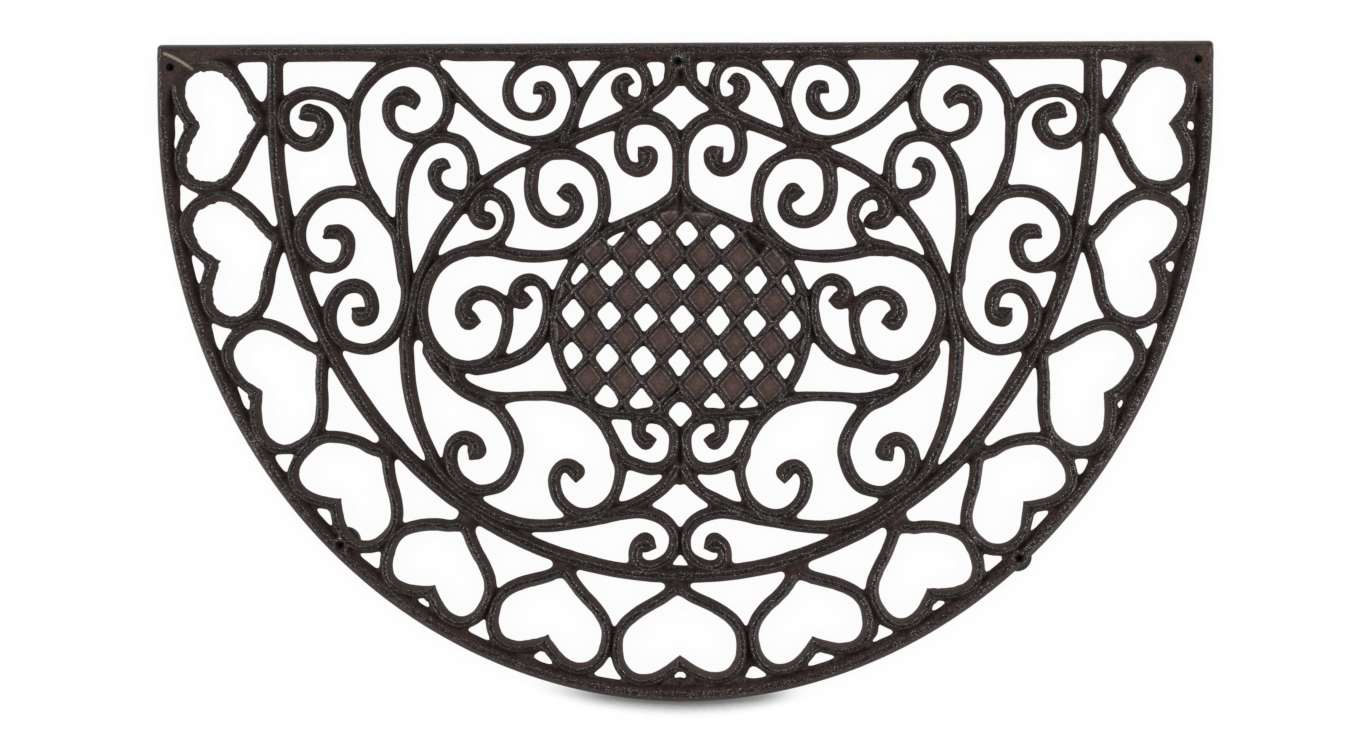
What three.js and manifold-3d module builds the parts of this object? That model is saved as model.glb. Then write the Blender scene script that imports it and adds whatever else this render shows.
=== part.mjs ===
// Half-round cast iron door mat: an openwork casting of scrolls, hearts and lattice on five rubber feet.
// Millimetres. +Z up, +X along the straight back edge, +Y toward it. The origin is on the floor, in the
// middle of the mat. The casting is drawn as bars along centrelines, mirrored about the middle line.
import * as THREE from "three";
import { mergeVertices } from "three/addons/utils/BufferGeometryUtils.js";
import Module from "manifold-3d";

const wasm = await Module();
wasm.setup();

// Overall sizes
const MAT_WIDTH = 725;
const MAT_DEPTH = 452;
const CASTING_THICKNESS = 9;
const FLOOR_CLEARANCE = 6; // underside of the casting above the floor

// Section of the openwork: a flat underside, and flanks that draw in toward the top as a sand casting's do
const FLANK_DRAW = 2.4; // how far each flank draws in from the underside to the top
const CHORD_ERROR = 0.55; // how far the straight steps of an outline may leave the true curve
const RIM_CHORD_ERROR = 0.15; // the same for the outer edge
const JUNCTION_FILLET = 2; // inside corners between bars, seen from above

// Frame of the mat
const BACK_BAR_WIDTH = 12;
const CORNER_RADIUS = 2.5;
const RIM_WIDTH = 11.5;
const RIM_SHOULDER = 195; // the rim runs straight back from here to the back bar
const RIM_EXPONENT_FRONT = 2;
const RIM_EXPONENT_SIDE = 2.11;
const ARC_WIDTH = 11;
const ARC_HALF_SPAN = 280.5; // inner arc, centreline
const ARC_SHOULDER = 180;
const ARC_FRONT = -140.5;
const ARC_EXPONENT = 2.03;

// Medallion in the middle
const MEDALLION_CENTRE = [0, 31];
const MEDALLION_HALF_WIDTH = 86;
const MEDALLION_HALF_HEIGHT = 78.5;
const MEDALLION_BAR_WIDTH = 9.5;
const LATTICE_PITCH_X = 25;
const LATTICE_PITCH_Y = 29.5;
const LATTICE_TURN = -3; // degrees
const LATTICE_ORIGIN = [1, 35.5];
const LATTICE_BAR_WIDTH = 6.5;
const FIELD_SILL = -30; // the lattice ends on the sill
const PANEL_THICKNESS = 3.5;

// Hearts in the border
const HEART_BAR_WIDTH = 8.6;

// Feet
const FOOT_HOLE_DIAMETER = 5.2;
const FOOT_STEM_CLEARANCE = 0.3;
const FOOT_HEAD_CLEARANCE = 0.3;
const FOOT_HEAD_DIAMETER = 20;
const FOOT_EDGE_FILLET = 1.5;
const FOOT_STEM_RECESS = 1.5; // top of the stem below the top of the casting
const ROUND_SIDES = 24;
const DRILL_SIDES = 18;
const BAR_SIDES = 7; // straight sides of a bar's round end
const STEPS_PER_POINT = 2;
const HEART_STEPS = 60;

// The mat as drawn, which the overall sizes stretch
const DRAWN_WIDTH = 725;
const DRAWN_DEPTH = 452;
const DRAWN_MIDDLE = -1; // middle of the depth as drawn
const SX = MAT_WIDTH / DRAWN_WIDTH;
const SY = MAT_DEPTH / DRAWN_DEPTH;

const BASE_Z = FLOOR_CLEARANCE;
const TOP_Z = FLOOR_CLEARANCE + CASTING_THICKNESS;

// Bars of the right half: x, y and half width of points along each centreline
const BARS = {
  crown_brace: [
    [4.5, 214, 5], [5, 204, 5], [8, 197, 5], [13.5, 191, 5], [21, 185.5, 5], [29.5, 179, 5],
    [38, 174.5, 5], [48, 170, 5], [58, 166, 4.5], [68, 162, 4.5], [80, 157, 4.5],
  ],
  crown_curl: [
    [38.5, 199.5, 5], [41, 197.5, 5.5], [42, 193.5, 6], [40.5, 188.5, 5], [36, 185, 4.5],
    [30.5, 183.5, 4.5], [25.5, 186, 4], [23.5, 191.5, 4], [23, 198, 4], [25, 205, 4],
    [30.5, 211, 4], [38.5, 213, 4.5], [47, 211, 4.5], [53.5, 207, 4], [59.5, 200.5, 3.5],
    [65, 192, 3.5], [69.5, 183, 3.5], [74, 174.5, 4], [76.5, 166.5, 4.5], [80, 159, 4.5],
  ],
  lyre: [
    [22.5, 147.5, 7], [22.5, 144, 6.5], [25, 139.5, 5.5], [30, 138, 5], [36.5, 140.5, 4.5],
    [40, 146, 4.5], [41.5, 153, 4.5], [41, 160, 4.5], [38.5, 167.5, 4.5], [33, 172.5, 5],
    [25, 174, 5], [16, 172, 5], [9, 167, 5], [4, 160, 5], [1.5, 152, 4.5], [1, 142, 4.5],
    [1, 133, 4.5], [2, 126, 4.5], [5, 119.5, 4.5], [11, 114.5, 4.5], [20, 109, 4.5],
    [30, 104.5, 4.5], [40, 100, 4.5], [48, 96.5, 4.5], [56, 91, 4.5],
  ],
  great_c: [
    [97, 194.5, 4.5], [93.5, 194, 5], [91, 190.5, 5], [91, 184.5, 5], [94, 179, 4.5],
    [99.5, 175, 3], [106.5, 175, 3], [113, 178, 3.5], [117.5, 184, 4], [119, 191.5, 4],
    [117.5, 199.5, 4], [112.5, 206.5, 4], [105, 211.5, 4], [96, 214, 4], [86, 212, 4],
    [79.5, 207, 3.5], [75.5, 200, 3.5], [73, 192, 3.5], [72.5, 184, 3.5], [73.5, 176, 4],
    [77, 168.5, 4], [82, 163.5, 4], [88, 160, 4], [95, 158, 4], [103, 158, 3.5],
    [110, 159.5, 3.5], [118, 162.5, 3.5], [126, 166.5, 3.5], [134, 172, 3.5], [142, 179, 3.5],
    [150, 187, 4], [157.5, 195, 4], [163.5, 203, 4], [169, 211, 4], [172, 217, 4.5],
  ],
  top_scroll: [
    [185, 186.5, 5.5], [191, 189.5, 6.5], [197, 187.5, 5.5], [200.5, 184, 5], [201.5, 178, 4.5],
    [200, 170.5, 4], [195.5, 164.5, 3.5], [190, 161.5, 3.5], [184, 160, 3.5], [177, 161, 4],
    [170.5, 164, 4], [165, 169, 4], [161.5, 174.5, 4], [160, 181, 4], [160.5, 189, 4],
    [163, 198, 4], [167.5, 206.5, 4.5], [175, 211.5, 4.5], [185, 213.5, 4.5], [196, 211.5, 4.5],
    [207, 207, 4.5], [215, 200, 4.5], [221.5, 190.5, 4], [225.5, 180, 4], [226, 171, 4],
    [226, 162, 4.5], [225.5, 154, 4.5], [224.5, 146, 4.5], [222, 138, 4.5], [219, 129.5, 4.5],
    [214.5, 120, 4.5], [208.5, 110.5, 4.5], [202, 102.5, 4.5], [196, 93.5, 4.5], [193.5, 84, 4.5],
    [191.5, 74, 4.5], [190, 64, 4.5],
  ],
  side_scroll: [
    [227, 177, 4.5], [231, 181.5, 4.5], [236, 185.5, 4.5], [241.5, 188.5, 4.5], [248, 190.5, 4.5],
    [255, 191.5, 4.5], [262, 190.5, 4.5], [268.5, 187, 4.5], [273.5, 181.5, 4.5], [275, 174, 4.5],
    [273.5, 166.5, 4.5], [269.5, 161, 4.5], [264, 157, 5], [258, 156, 5], [252, 158, 5],
    [248, 162.5, 5.5], [245.5, 168, 5.5], [247, 173.5, 5.5], [250.5, 176.5, 5.5], [257, 178, 6],
  ],
  arch_scroll: [
    [207, 110.5, 4.5], [213, 117, 4.5], [220, 121, 4.5], [228, 123, 4.5], [236, 123, 4.5],
    [244, 121, 4.5], [251, 117, 4.5], [257, 111, 4.5], [261.5, 103.5, 4.5], [263.5, 95, 4.5],
    [262.5, 87, 4.5], [259, 80, 4.5], [253, 75, 4], [246, 71, 4], [239, 71, 4], [233.5, 74.5, 4.5],
    [230.5, 80, 5], [229.5, 86, 5], [231, 91.5, 5.5], [235, 95, 5.5], [241.5, 95.5, 5],
  ],
  long_s: [
    [220, 37, 7], [215.5, 37.5, 6], [213, 42, 5], [213.5, 48, 5], [216, 54, 5], [221, 57.5, 5],
    [227.5, 58, 5], [234, 55.5, 5], [238.5, 50, 5], [241.5, 43.5, 5], [242.5, 36, 5],
    [240.5, 27.5, 4.5], [235, 20, 4], [227, 16, 4], [217, 14.5, 4], [208, 17, 4], [200, 23, 4.5],
    [194, 32, 4.5], [190, 42, 4.5], [188.5, 52, 4.5], [189, 62, 4.5], [190, 72, 4.5],
    [191, 82, 4.5], [192, 92, 4.5], [192.5, 103, 4.5], [192.5, 112, 4.5], [192, 122, 4.5],
    [190.5, 133, 4.5], [187, 143, 4.5], [181.5, 151.5, 4], [175, 157.5, 4], [167, 160.5, 4],
    [158, 160, 4], [150.5, 156.5, 4.5], [145.5, 149.5, 4], [143, 141, 4], [143, 133, 4.5],
    [143.5, 126, 4.5], [147, 118.5, 4.5], [151, 113.5, 4.5], [155, 108.5, 4.5], [160, 102, 4.5],
    [165, 94.5, 4.5], [169, 87.5, 4.5], [172.5, 79.5, 4.5], [176, 72, 4.5], [179.5, 64, 4.5],
    [182, 56, 5], [183.5, 47, 5], [185.5, 37, 5], [188, 27, 5], [189, 17, 5], [188.5, 8, 5],
    [188, -1, 5], [187, -10, 5], [185.5, -18, 5], [183.5, -27, 5], [181, -36, 4.5],
    [177.5, -45, 4.5], [173, -55, 4.5], [168.5, -65, 4.5], [162, -73.5, 4.5], [154, -81, 4.5],
    [145, -88, 4.5], [136, -94.5, 4.5], [126, -100, 4.5], [115.5, -104, 4.5], [104, -106.5, 4.5],
    [94, -107, 4.5], [82, -106, 4.5], [70, -104, 4.5], [58, -102, 4.5], [46, -99, 4.5],
    [36, -97.5, 4.5], [27, -97, 4.5], [19.5, -98.5, 4.5], [12.5, -101.5, 4.5], [7, -106.5, 4.5],
    [3.5, -113.5, 4.5], [4, -121, 4.5], [7, -127.5, 4.5], [12.5, -132, 4.5], [19.5, -134.5, 4.5],
    [26, -134, 5], [30, -130, 5], [30.5, -124.5, 5], [28.5, -120, 5.5], [24, -118, 7],
  ],
  great_scroll: [
    [77, 122.5, 6.5], [72.5, 118, 5], [71.5, 112, 5], [74, 106.5, 5], [79, 103, 4.5],
    [85.5, 102, 4.5], [92, 104, 4.5], [98, 109, 5], [101.5, 116, 5], [103, 124, 5],
    [102.5, 133, 5], [101, 140, 5], [97.5, 144.5, 5], [91, 148.5, 4.5], [83, 149.5, 4.5],
    [75.5, 149, 4.5], [68, 146, 4.5], [61, 141, 4.5], [56, 134.5, 4.5], [53.5, 127.5, 4.5],
    [52.5, 120, 4.5], [52.5, 112, 4.5], [54.5, 104, 4.5], [58.5, 96.5, 4.5], [64.5, 90, 4.5],
    [72, 84.5, 4], [80, 80.5, 4], [89, 79, 4], [98, 78.5, 4.5], [108, 79, 4.5], [120, 81, 4.5],
    [131, 83.5, 4.5], [143, 83, 4], [153, 80.5, 4.5], [162, 76, 4.5], [169.5, 69, 4.5],
    [174.5, 60, 4.5], [177.5, 50, 4.5], [178.5, 40, 4.5], [176.5, 29, 4.5], [172, 19, 4.5],
    [165, 10, 4.5], [157, 4.5, 4.5], [148, 2.5, 4.5], [138, 3, 4.5], [130.5, 7, 4.5],
    [125.5, 12.5, 4], [122, 19.5, 4], [120, 27.5, 4], [119, 36, 4], [120.5, 42.5, 4.5],
    [124.5, 48.5, 4.5], [130, 52, 4.5], [137, 53.5, 5], [144, 51, 5], [148.5, 46, 5.5],
    [149.5, 40, 6], [146, 34.5, 7],
  ],
  slanting_tie: [
    [98, 150, 4], [104, 147, 4.5], [110, 144.5, 4.5], [116, 141.5, 4.5], [123, 137.5, 4.5],
    [130, 133, 4.5], [137, 128, 4.5], [142, 123.5, 4.5], [147, 117.5, 4.5],
  ],
  hook: [
    [137.5, 125, 5.5], [133, 121.5, 5], [127, 119.5, 4.5], [122.5, 117.5, 4.5],
    [119.5, 112.5, 4.5], [118, 106, 4], [119, 100, 4], [121.5, 94.5, 4], [126, 89.5, 4.5],
    [132, 86, 4.5], [140, 84, 4.5],
  ],
  inner_curl: [
    [148.5, 116, 5], [153.5, 120, 4.5], [160, 121.5, 4.5], [165.5, 124.5, 4.5], [169, 130, 4.5],
    [169.5, 136, 5], [167, 140.5, 5], [164, 142, 4.5],
  ],
  hook_curl: [
    [147, 117, 6.5], [143.5, 111, 6], [140.5, 105.5, 6], [134, 103, 7],
  ],
  low_scroll: [
    [109.5, 48.5, 6.5], [113, 53, 5.5], [112.5, 57, 5], [109, 61, 4.5], [103.5, 62.5, 4.5],
    [98, 61, 4], [94, 57, 4], [92, 51.5, 4], [91, 44.5, 4], [91.5, 36, 4.5], [93.5, 28, 4.5],
    [97, 21.5, 5], [101, 16.5, 5], [105, 12.5, 5], [110, 9.5, 5], [116, 7, 4.5], [123, 5.5, 4.5],
    [131, 3, 4.5], [140, 1.5, 4.5],
  ],
  lower_scroll: [
    [71.5, -69.5, 6], [75, -66.5, 5.5], [79.5, -65.5, 5], [84, -68.5, 4.5], [86.5, -74.5, 4.5],
    [86, -81, 4.5], [83.5, -88, 4.5], [78.5, -94, 4.5], [72, -98, 4.5], [64, -99, 4.5],
    [56.5, -97, 4.5], [50, -92.5, 4.5], [45.5, -86, 4], [42.5, -78, 4], [41, -69, 4],
    [42, -61, 4.5], [43.5, -54, 4.5], [47.5, -45.5, 4.5], [51.5, -38, 4.5], [57, -31, 4.5],
    [63.5, -25, 4.5], [72, -20.5, 4.5], [81, -18.5, 4], [90, -17.5, 3.5], [100, -17.5, 3.5],
    [112, -18, 3.5], [122, -19, 4], [132, -18, 4], [141, -15.5, 4.5], [148.5, -11.5, 4.5],
    [153, -6, 4.5], [156, 1, 4.5],
  ],
  centre_scroll: [
    [43, -57, 4.5], [38, -61.5, 4.5], [30, -65, 4.5], [20, -67.5, 4.5], [11, -65.5, 4.5],
    [5.5, -59.5, 4.5], [3.5, -51, 4.5], [4, -43, 4.5], [8.5, -36.5, 4.5], [15, -32, 4.5],
    [22, -31, 4.5], [27, -34, 5], [28.5, -40, 5], [27.5, -45, 5], [23.5, -48.5, 6],
  ],
  front_c: [
    [140, -55, 6.5], [141, -50.5, 5.5], [144.5, -47.5, 5], [149, -46.5, 5], [154, -48.5, 5],
    [157.5, -53.5, 5], [158.5, -60, 5], [157.5, -67, 5], [153.5, -74, 4.5], [147, -79.5, 4.5],
    [139.5, -82.5, 4], [131, -82, 4], [123.5, -79, 4.5], [117.5, -72.5, 4.5], [114, -64.5, 4.5],
    [112, -55.5, 4.5], [113.5, -46.5, 4.5], [117.5, -38, 4.5], [122.5, -30.5, 4.5],
    [129, -24, 4.5], [137, -19.5, 5], [146, -15, 5], [154, -9.5, 5], [161.5, -3, 5],
    [168, 4.5, 5], [173, 13, 5],
  ],
  centre_fork: [
    [2.5, -66, 5], [7, -74.5, 5], [12, -80, 5], [18.5, -85, 5], [26, -89.5, 5], [34, -93, 4.5],
    [43, -96, 4.5], [52, -99, 4.5],
  ],
  medallion_sill: [
    [54, -28.5, 4], [46, -29.5, 4], [36, -30, 4], [26, -30.5, 4], [17, -30.5, 4], [12, -26.5, 4],
    [7, -21, 4], [0, -15.5, 4],
  ],
};

// Solid webs of the right half, as outlines
const WEBS = {
  crown_stub: [[0, 214], [10.5, 214], [10.5, 203], [6, 200], [0, 197.5]],
  roof_web: [[0, 122], [4, 117], [10, 111.5], [22, 105], [14, 102], [0, 103]],
  centre_web: [[0, -56], [6, -62], [6, -74], [0, -77]],
  corner_web: [[318, 214], [357, 214], [357, 180], [351, 182], [348, 194], [340, 205], [328, 210]],
};

// Hearts: tip, direction of the axis in degrees, depth of the notch from the tip, and for each lobe,
// anticlockwise side first, its length from the tip, its half width and how far its flank bows out.
// The last heart is on the middle line.
const HEARTS = [
  { tip: [293.5, 171], axis: -3.5, notch: 39.5, lobes: [[49, 38.5, -0.5], [50, 39, -3]] },
  { tip: [282, 89], axis: -20.5, notch: 40, lobes: [[49.5, 39.5, 1.5], [53, 40, -3]] },
  { tip: [251, 10.5], axis: -33.5, notch: 46, lobes: [[50.5, 38.5, 0.5], [59, 42, -2.5]] },
  { tip: [206.5, -60], axis: -46, notch: 41.5, lobes: [[51.5, 37, 4.5], [52, 37, -2.5]] },
  { tip: [151, -110.5], axis: -64.5, notch: 43.5, lobes: [[49.5, 35.5, 2], [54, 33, -3]] },
  { tip: [81, -142], axis: -76, notch: 41.5, lobes: [[50.5, 36, 0.5], [54.5, 36.5, -2.5]] },
  { tip: [0, -153.5], axis: -90, notch: 42.5, lobes: [[54, 39, 0.5], [54, 39, 0.5]] },
];
// One lobe's inner edge from the tip round to the notch, as shares of its length and half width
const LOBE = [
  [0.03, 0.12], [0.12, 0.26], [0.19, 0.45], [0.27, 0.65], [0.34, 0.78], [0.43, 0.9], [0.53, 0.975],
  [0.64, 1], [0.74, 0.995], [0.83, 0.97], [0.91, 0.91], [0.97, 0.82], [1, 0.7],
];
// The rest of it, the first number as a share of the way from the notch out to the lobe's length
const LOBE_RETURN = [[0.98, 0.55], [0.8, 0.39], [0.52, 0.24], [0.25, 0.12]];

// Foot holes, drilled by hand and so not quite alike on the two sides
const FOOT_PLACES = {
  rubber_foot_back_left: [-351, 208],
  rubber_foot_back_centre: [-1.5, 211],
  rubber_foot_back_right: [350, 211],
  rubber_foot_front_left: [-233, -120],
  rubber_foot_front_right: [230.5, -127],
};
// A foot pushed in aslant: how far its head sits to one side of the stem
const FOOT_HEAD_SHIFTS = {
  rubber_foot_front_left: [1.5, 1.5],
};

// A closed solid from a three.js geometry.
function solidOf(geometry) {
  const bare = geometry.index ? geometry.toNonIndexed() : geometry.clone();
  bare.deleteAttribute("normal");
  bare.deleteAttribute("uv");
  const merged = mergeVertices(bare, 1e-4);
  return new wasm.Manifold(
    new wasm.Mesh({
      numProp: 3,
      vertProperties: merged.attributes.position.array,
      triVerts: new Uint32Array(merged.index.array),
    }),
  );
}

function geometryOf(solid) {
  const mesh = solid.getMesh();
  const positions = new Float32Array(mesh.numVert * 3);
  for (let i = 0; i < mesh.numVert; i++) {
    positions.set(mesh.vertProperties.subarray(i * mesh.numProp, i * mesh.numProp + 3), i * 3);
  }
  const geometry = new THREE.BufferGeometry();
  geometry.setAttribute("position", new THREE.BufferAttribute(positions, 3));
  geometry.setIndex(new THREE.BufferAttribute(new Uint32Array(mesh.triVerts), 1));
  geometry.computeVertexNormals();
  return geometry;
}

// Joins solids two by two, so that no join is between one large and one small solid for long.
function join(solids) {
  let row = solids;
  while (row.length > 1) {
    const next = [];
    for (let i = 0; i < row.length; i += 2) {
      next.push(i + 1 < row.length ? row[i].add(row[i + 1]) : row[i]);
    }
    row = next;
  }
  return row[0];
}

// An upright prism over an outline.
function prism(outline, z0, z1) {
  const shape = new THREE.Shape(outline.map(([x, y]) => new THREE.Vector2(x, y)));
  const geometry = new THREE.ExtrudeGeometry(shape, { depth: z1 - z0, bevelEnabled: false });
  return solidOf(geometry.translate(0, 0, z0));
}

// A round post.
function post(x, y, radius, z0, z1) {
  const geometry = new THREE.CylinderGeometry(radius, radius, z1 - z0, DRILL_SIDES);
  return solidOf(geometry.rotateX(Math.PI / 2).translate(x, y, (z0 + z1) / 2));
}

// Points with a half width, from the drawing to the mat's own size.
const toX = (x) => x * SX;
const toY = (y) => (y - DRAWN_MIDDLE) * SY;
const place = ([x, y, half]) => new THREE.Vector3(toX(x), toY(y), half);

// Outlines are drawn larger by the fillet and then drawn in by it, which rounds the inside corners.
const SPREAD = JUNCTION_FILLET;
const web = (outline) => prism(drawnIn(turnedLeft(outline), -SPREAD), BASE_Z, TOP_Z);

// A smooth run through the points.
function smooth(points) {
  const curve = new THREE.CatmullRomCurve3(points, false, "centripetal");
  return curve.getPoints(points.length * STEPS_PER_POINT);
}

// A bar of plain upright section along a run: blocks with round ends, each lapping over the next.
function bar(run) {
  const parts = [];
  for (let i = 0; i + 1 < run.length; i++) {
    const [p, q] = [run[i], run[i + 1]];
    if (Math.hypot(q.x - p.x, q.y - p.y) < 1e-3) continue;
    const heading = Math.atan2(q.y - p.y, q.x - p.x);
    const outline = [];
    for (const [end, start] of [[q, -Math.PI / 2], [p, Math.PI / 2]]) {
      for (let k = 0; k <= BAR_SIDES; k++) {
        const t = heading + start + (k / BAR_SIDES) * Math.PI;
        const reach = end.z + SPREAD;
        outline.push([end.x + reach * Math.cos(t), end.y + reach * Math.sin(t)]);
      }
    }
    parts.push(prism(outline, BASE_Z, TOP_Z));
  }
  return join(parts);
}

// The outlines of a flat slab, each with the iron on its left.
function outlines(slab) {
  const { vertProperties, numProp, triVerts } = slab.getMesh();
  const at = (v) => [vertProperties[v * numProp], vertProperties[v * numProp + 1]];
  const low = (v) => vertProperties[v * numProp + 2] < (BASE_Z + TOP_Z) / 2;
  const edges = new Map();
  const key = (a, b) => a * 1e7 + b;
  for (let i = 0; i < triVerts.length; i += 3) {
    const [a, b, c] = triVerts.subarray(i, i + 3);
    if (!low(a) || !low(b) || !low(c)) continue;
    for (const [p, q] of [[a, b], [b, c], [c, a]]) {
      if (!edges.delete(key(q, p))) edges.set(key(p, q), [q, p]);
    }
  }
  const from = new Map();
  for (const [p, q] of edges.values()) {
    if (!from.has(p)) from.set(p, []);
    from.get(p).push(q);
  }
  const loops = [];
  for (const [start, ways] of from) {
    while (ways.length) {
      const loop = [start];
      let v = ways.pop();
      while (v !== start) {
        loop.push(v);
        v = from.get(v).pop();
      }
      loops.push(loop.map(at));
    }
  }
  return loops;
}

const areaOf = (loop) =>
  loop.reduce((sum, [x, y], i) => {
    const [u, v] = loop[(i + 1) % loop.length];
    return sum + (x * v - u * y) / 2;
  }, 0);

const turnedLeft = (loop) => (areaOf(loop) < 0 ? [...loop].reverse() : loop);

// Keeps the fewest points of an open run that stay within the tolerance.
function keep(points, tolerance) {
  const first = points[0];
  const last = points[points.length - 1];
  const length = Math.hypot(last[0] - first[0], last[1] - first[1]) || 1e-9;
  let worst = 0;
  let at = 0;
  for (let i = 1; i + 1 < points.length; i++) {
    const cross =
      (last[0] - first[0]) * (points[i][1] - first[1]) -
      (last[1] - first[1]) * (points[i][0] - first[0]);
    const away = Math.abs(cross) / length;
    if (away > worst) {
      worst = away;
      at = i;
    }
  }
  if (worst <= tolerance) return [first, last];
  return [
    ...keep(points.slice(0, at + 1), tolerance).slice(0, -1),
    ...keep(points.slice(at), tolerance),
  ];
}

// The same for a closed outline, cut at its two points farthest apart.
function thin(loop, tolerance) {
  const far = (from) => {
    let best = 0;
    let index = 0;
    loop.forEach(([x, y], i) => {
      const d = Math.hypot(x - from[0], y - from[1]);
      if (d > best) [best, index] = [d, i];
    });
    return index;
  };
  const a = far(loop[0]);
  const turned = [...loop.slice(a), ...loop.slice(0, a)];
  const b = (far(loop[a]) - a + loop.length) % loop.length;
  return [
    ...keep(turned.slice(0, b + 1), tolerance).slice(0, -1),
    ...keep([...turned.slice(b), turned[0]], tolerance).slice(0, -1),
  ];
}

// An outline moved into the iron by the flank's draw, point for point.
function drawnIn(loop, draw) {
  return loop.map((p, i) => {
    const a = loop[(i + loop.length - 1) % loop.length];
    const b = loop[(i + 1) % loop.length];
    const [ax, ay] = [p[0] - a[0], p[1] - a[1]];
    const [bx, by] = [b[0] - p[0], b[1] - p[1]];
    const la = Math.hypot(ax, ay);
    const lb = Math.hypot(bx, by);
    const nx = -ay / la - by / lb;
    const ny = ax / la + bx / lb;
    const n = Math.max(Math.hypot(nx, ny), 1e-6);
    const reach = draw / Math.max(n / 2, 0.7);
    return [p[0] + (nx / n) * reach, p[1] + (ny / n) * reach];
  });
}

// An outline moved into the iron by a radius, with an arc at each inside corner.
function filleted(loop, radius) {
  const moved = [];
  loop.forEach((p, i) => {
    const a = loop[(i + loop.length - 1) % loop.length];
    const b = loop[(i + 1) % loop.length];
    const before = Math.atan2(p[1] - a[1], p[0] - a[0]);
    const after = Math.atan2(b[1] - p[1], b[0] - p[0]);
    const turn = Math.atan2(Math.sin(after - before), Math.cos(after - before));
    const arcs = turn < -0.4 ? Math.ceil(-turn / 0.6) : 0;
    const reach = radius / Math.cos(arcs ? turn / arcs / 2 : turn / 2);
    for (let k = 0; k <= arcs; k++) {
      const share = arcs ? (k + 0.5) / (arcs + 1) : 0.5;
      const t = before + turn * share + Math.PI / 2;
      const r = arcs ? (radius + reach) / 2 : reach;
      moved.push([p[0] + r * Math.cos(t), p[1] + r * Math.sin(t)]);
    }
  });
  return moved;
}

// Drops points whose edge would turn back on itself at the top of the flank.
function eased(loop) {
  let points = loop;
  for (;;) {
    const top = drawnIn(points, FLANK_DRAW);
    const at = points.findIndex((p, i) => {
      const j = (i + 1) % points.length;
      const [ex, ey] = [points[j][0] - p[0], points[j][1] - p[1]];
      const along = ex * (top[j][0] - top[i][0]) + ey * (top[j][1] - top[i][1]);
      return along <= 0.02 * (ex * ex + ey * ey);
    });
    if (at < 0 || points.length < 5) return points;
    const j = (at + 1) % points.length;
    const middle = [(points[at][0] + points[j][0]) / 2, (points[at][1] + points[j][1]) / 2];
    points = points.map((p, i) => (i === at ? middle : p)).filter((p, i) => i !== j);
  }
}

// The solid between an outline and the same outline drawn in toward the top.
function draftedBody(loop) {
  const high = drawnIn(loop, FLANK_DRAW);
  const hollow = areaOf(loop) < 0;
  const positions = [];
  const face = (a, b, c) => {
    positions.push(...a, ...(hollow ? c : b), ...(hollow ? b : c));
  };
  loop.forEach((p, i) => {
    const j = (i + 1) % loop.length;
    face([...loop[i], BASE_Z], [...loop[j], BASE_Z], [...high[j], TOP_Z]);
    face([...loop[i], BASE_Z], [...high[j], TOP_Z], [...high[i], TOP_Z]);
  });
  for (const [points, z, up] of [[loop, BASE_Z, false], [high, TOP_Z, true]]) {
    const vectors = points.map(([x, y]) => new THREE.Vector2(x, y));
    for (const triangle of THREE.ShapeUtils.triangulateShape(vectors, [])) {
      const [p, q, r] = triangle.map((k) => [...points[k], z]);
      const ccw = (q[0] - p[0]) * (r[1] - p[1]) - (q[1] - p[1]) * (r[0] - p[0]) > 0;
      positions.push(...p, ...(ccw === up ? q : r), ...(ccw === up ? r : q));
    }
  }
  const geometry = new THREE.BufferGeometry();
  geometry.setAttribute("position", new THREE.Float32BufferAttribute(positions, 3));
  return solidOf(geometry);
}

// A superellipse's points from angle 0 (right) to -90 degrees (front), then its offset inward.
function superellipse(halfWidth, shoulder, depth, exponents, inset, count) {
  const [side, front] = exponents;
  const at = (t) => {
    const exponent = side + (front - side) * (t / (Math.PI / 2));
    const c = Math.max(Math.cos(t), 0);
    const s = Math.max(Math.sin(t), 0);
    return [halfWidth * c ** (2 / exponent), shoulder - depth * s ** (2 / exponent)];
  };
  const points = [];
  for (let i = 0; i <= count; i++) {
    const t = (i / count) * (Math.PI / 2);
    const [x, y] = at(t);
    const [ax, ay] = at(Math.max(t - 0.002, 0));
    const [bx, by] = at(Math.min(t + 0.002, Math.PI / 2));
    const g = Math.hypot(bx - ax, by - ay);
    points.push([x + ((by - ay) / g) * inset, y - ((bx - ax) / g) * inset]);
  }
  return points;
}

// Inner edge of one lobe of a heart in the drawing, offset outward by the given distance.
function lobeRun(heart, side, offset) {
  const [length, width, bow] = heart.lobes[side];
  const sign = side === 0 ? 1 : -1;
  const axis = (heart.axis * Math.PI) / 180;
  const bowed = ([u, v]) => {
    const share = Math.min(u / 0.12, 1) * Math.min(Math.max((0.95 - u) / 0.35, 0), 1);
    return [u * length - bow * share, v * width];
  };
  const back = ([share, v]) => [heart.notch + (length - heart.notch) * share, v * width];
  const local = [[0, 0], ...LOBE.map(bowed), ...LOBE_RETURN.map(back), [heart.notch, 0]];
  const world = local.map(([u, v]) => {
    const w = v * sign;
    return new THREE.Vector3(
      heart.tip[0] + u * Math.cos(axis) - w * Math.sin(axis),
      heart.tip[1] + u * Math.sin(axis) + w * Math.cos(axis),
      0,
    );
  });
  const curve = new THREE.CatmullRomCurve3(world, false, "centripetal");
  const fine = curve.getSpacedPoints(HEART_STEPS);
  const behindNotch = Math.ceil((offset / curve.getLength()) * HEART_STEPS);
  return fine.slice(0, fine.length - behindNotch).map((p, i) => {
    const a = fine[Math.max(i - 1, 0)];
    const b = fine[Math.min(i + 1, fine.length - 1)];
    const t = Math.hypot(b.x - a.x, b.y - a.y);
    return [
      p.x - ((b.y - a.y) / t) * offset * sign,
      p.y + ((b.x - a.x) / t) * offset * sign,
    ];
  });
}

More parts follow.
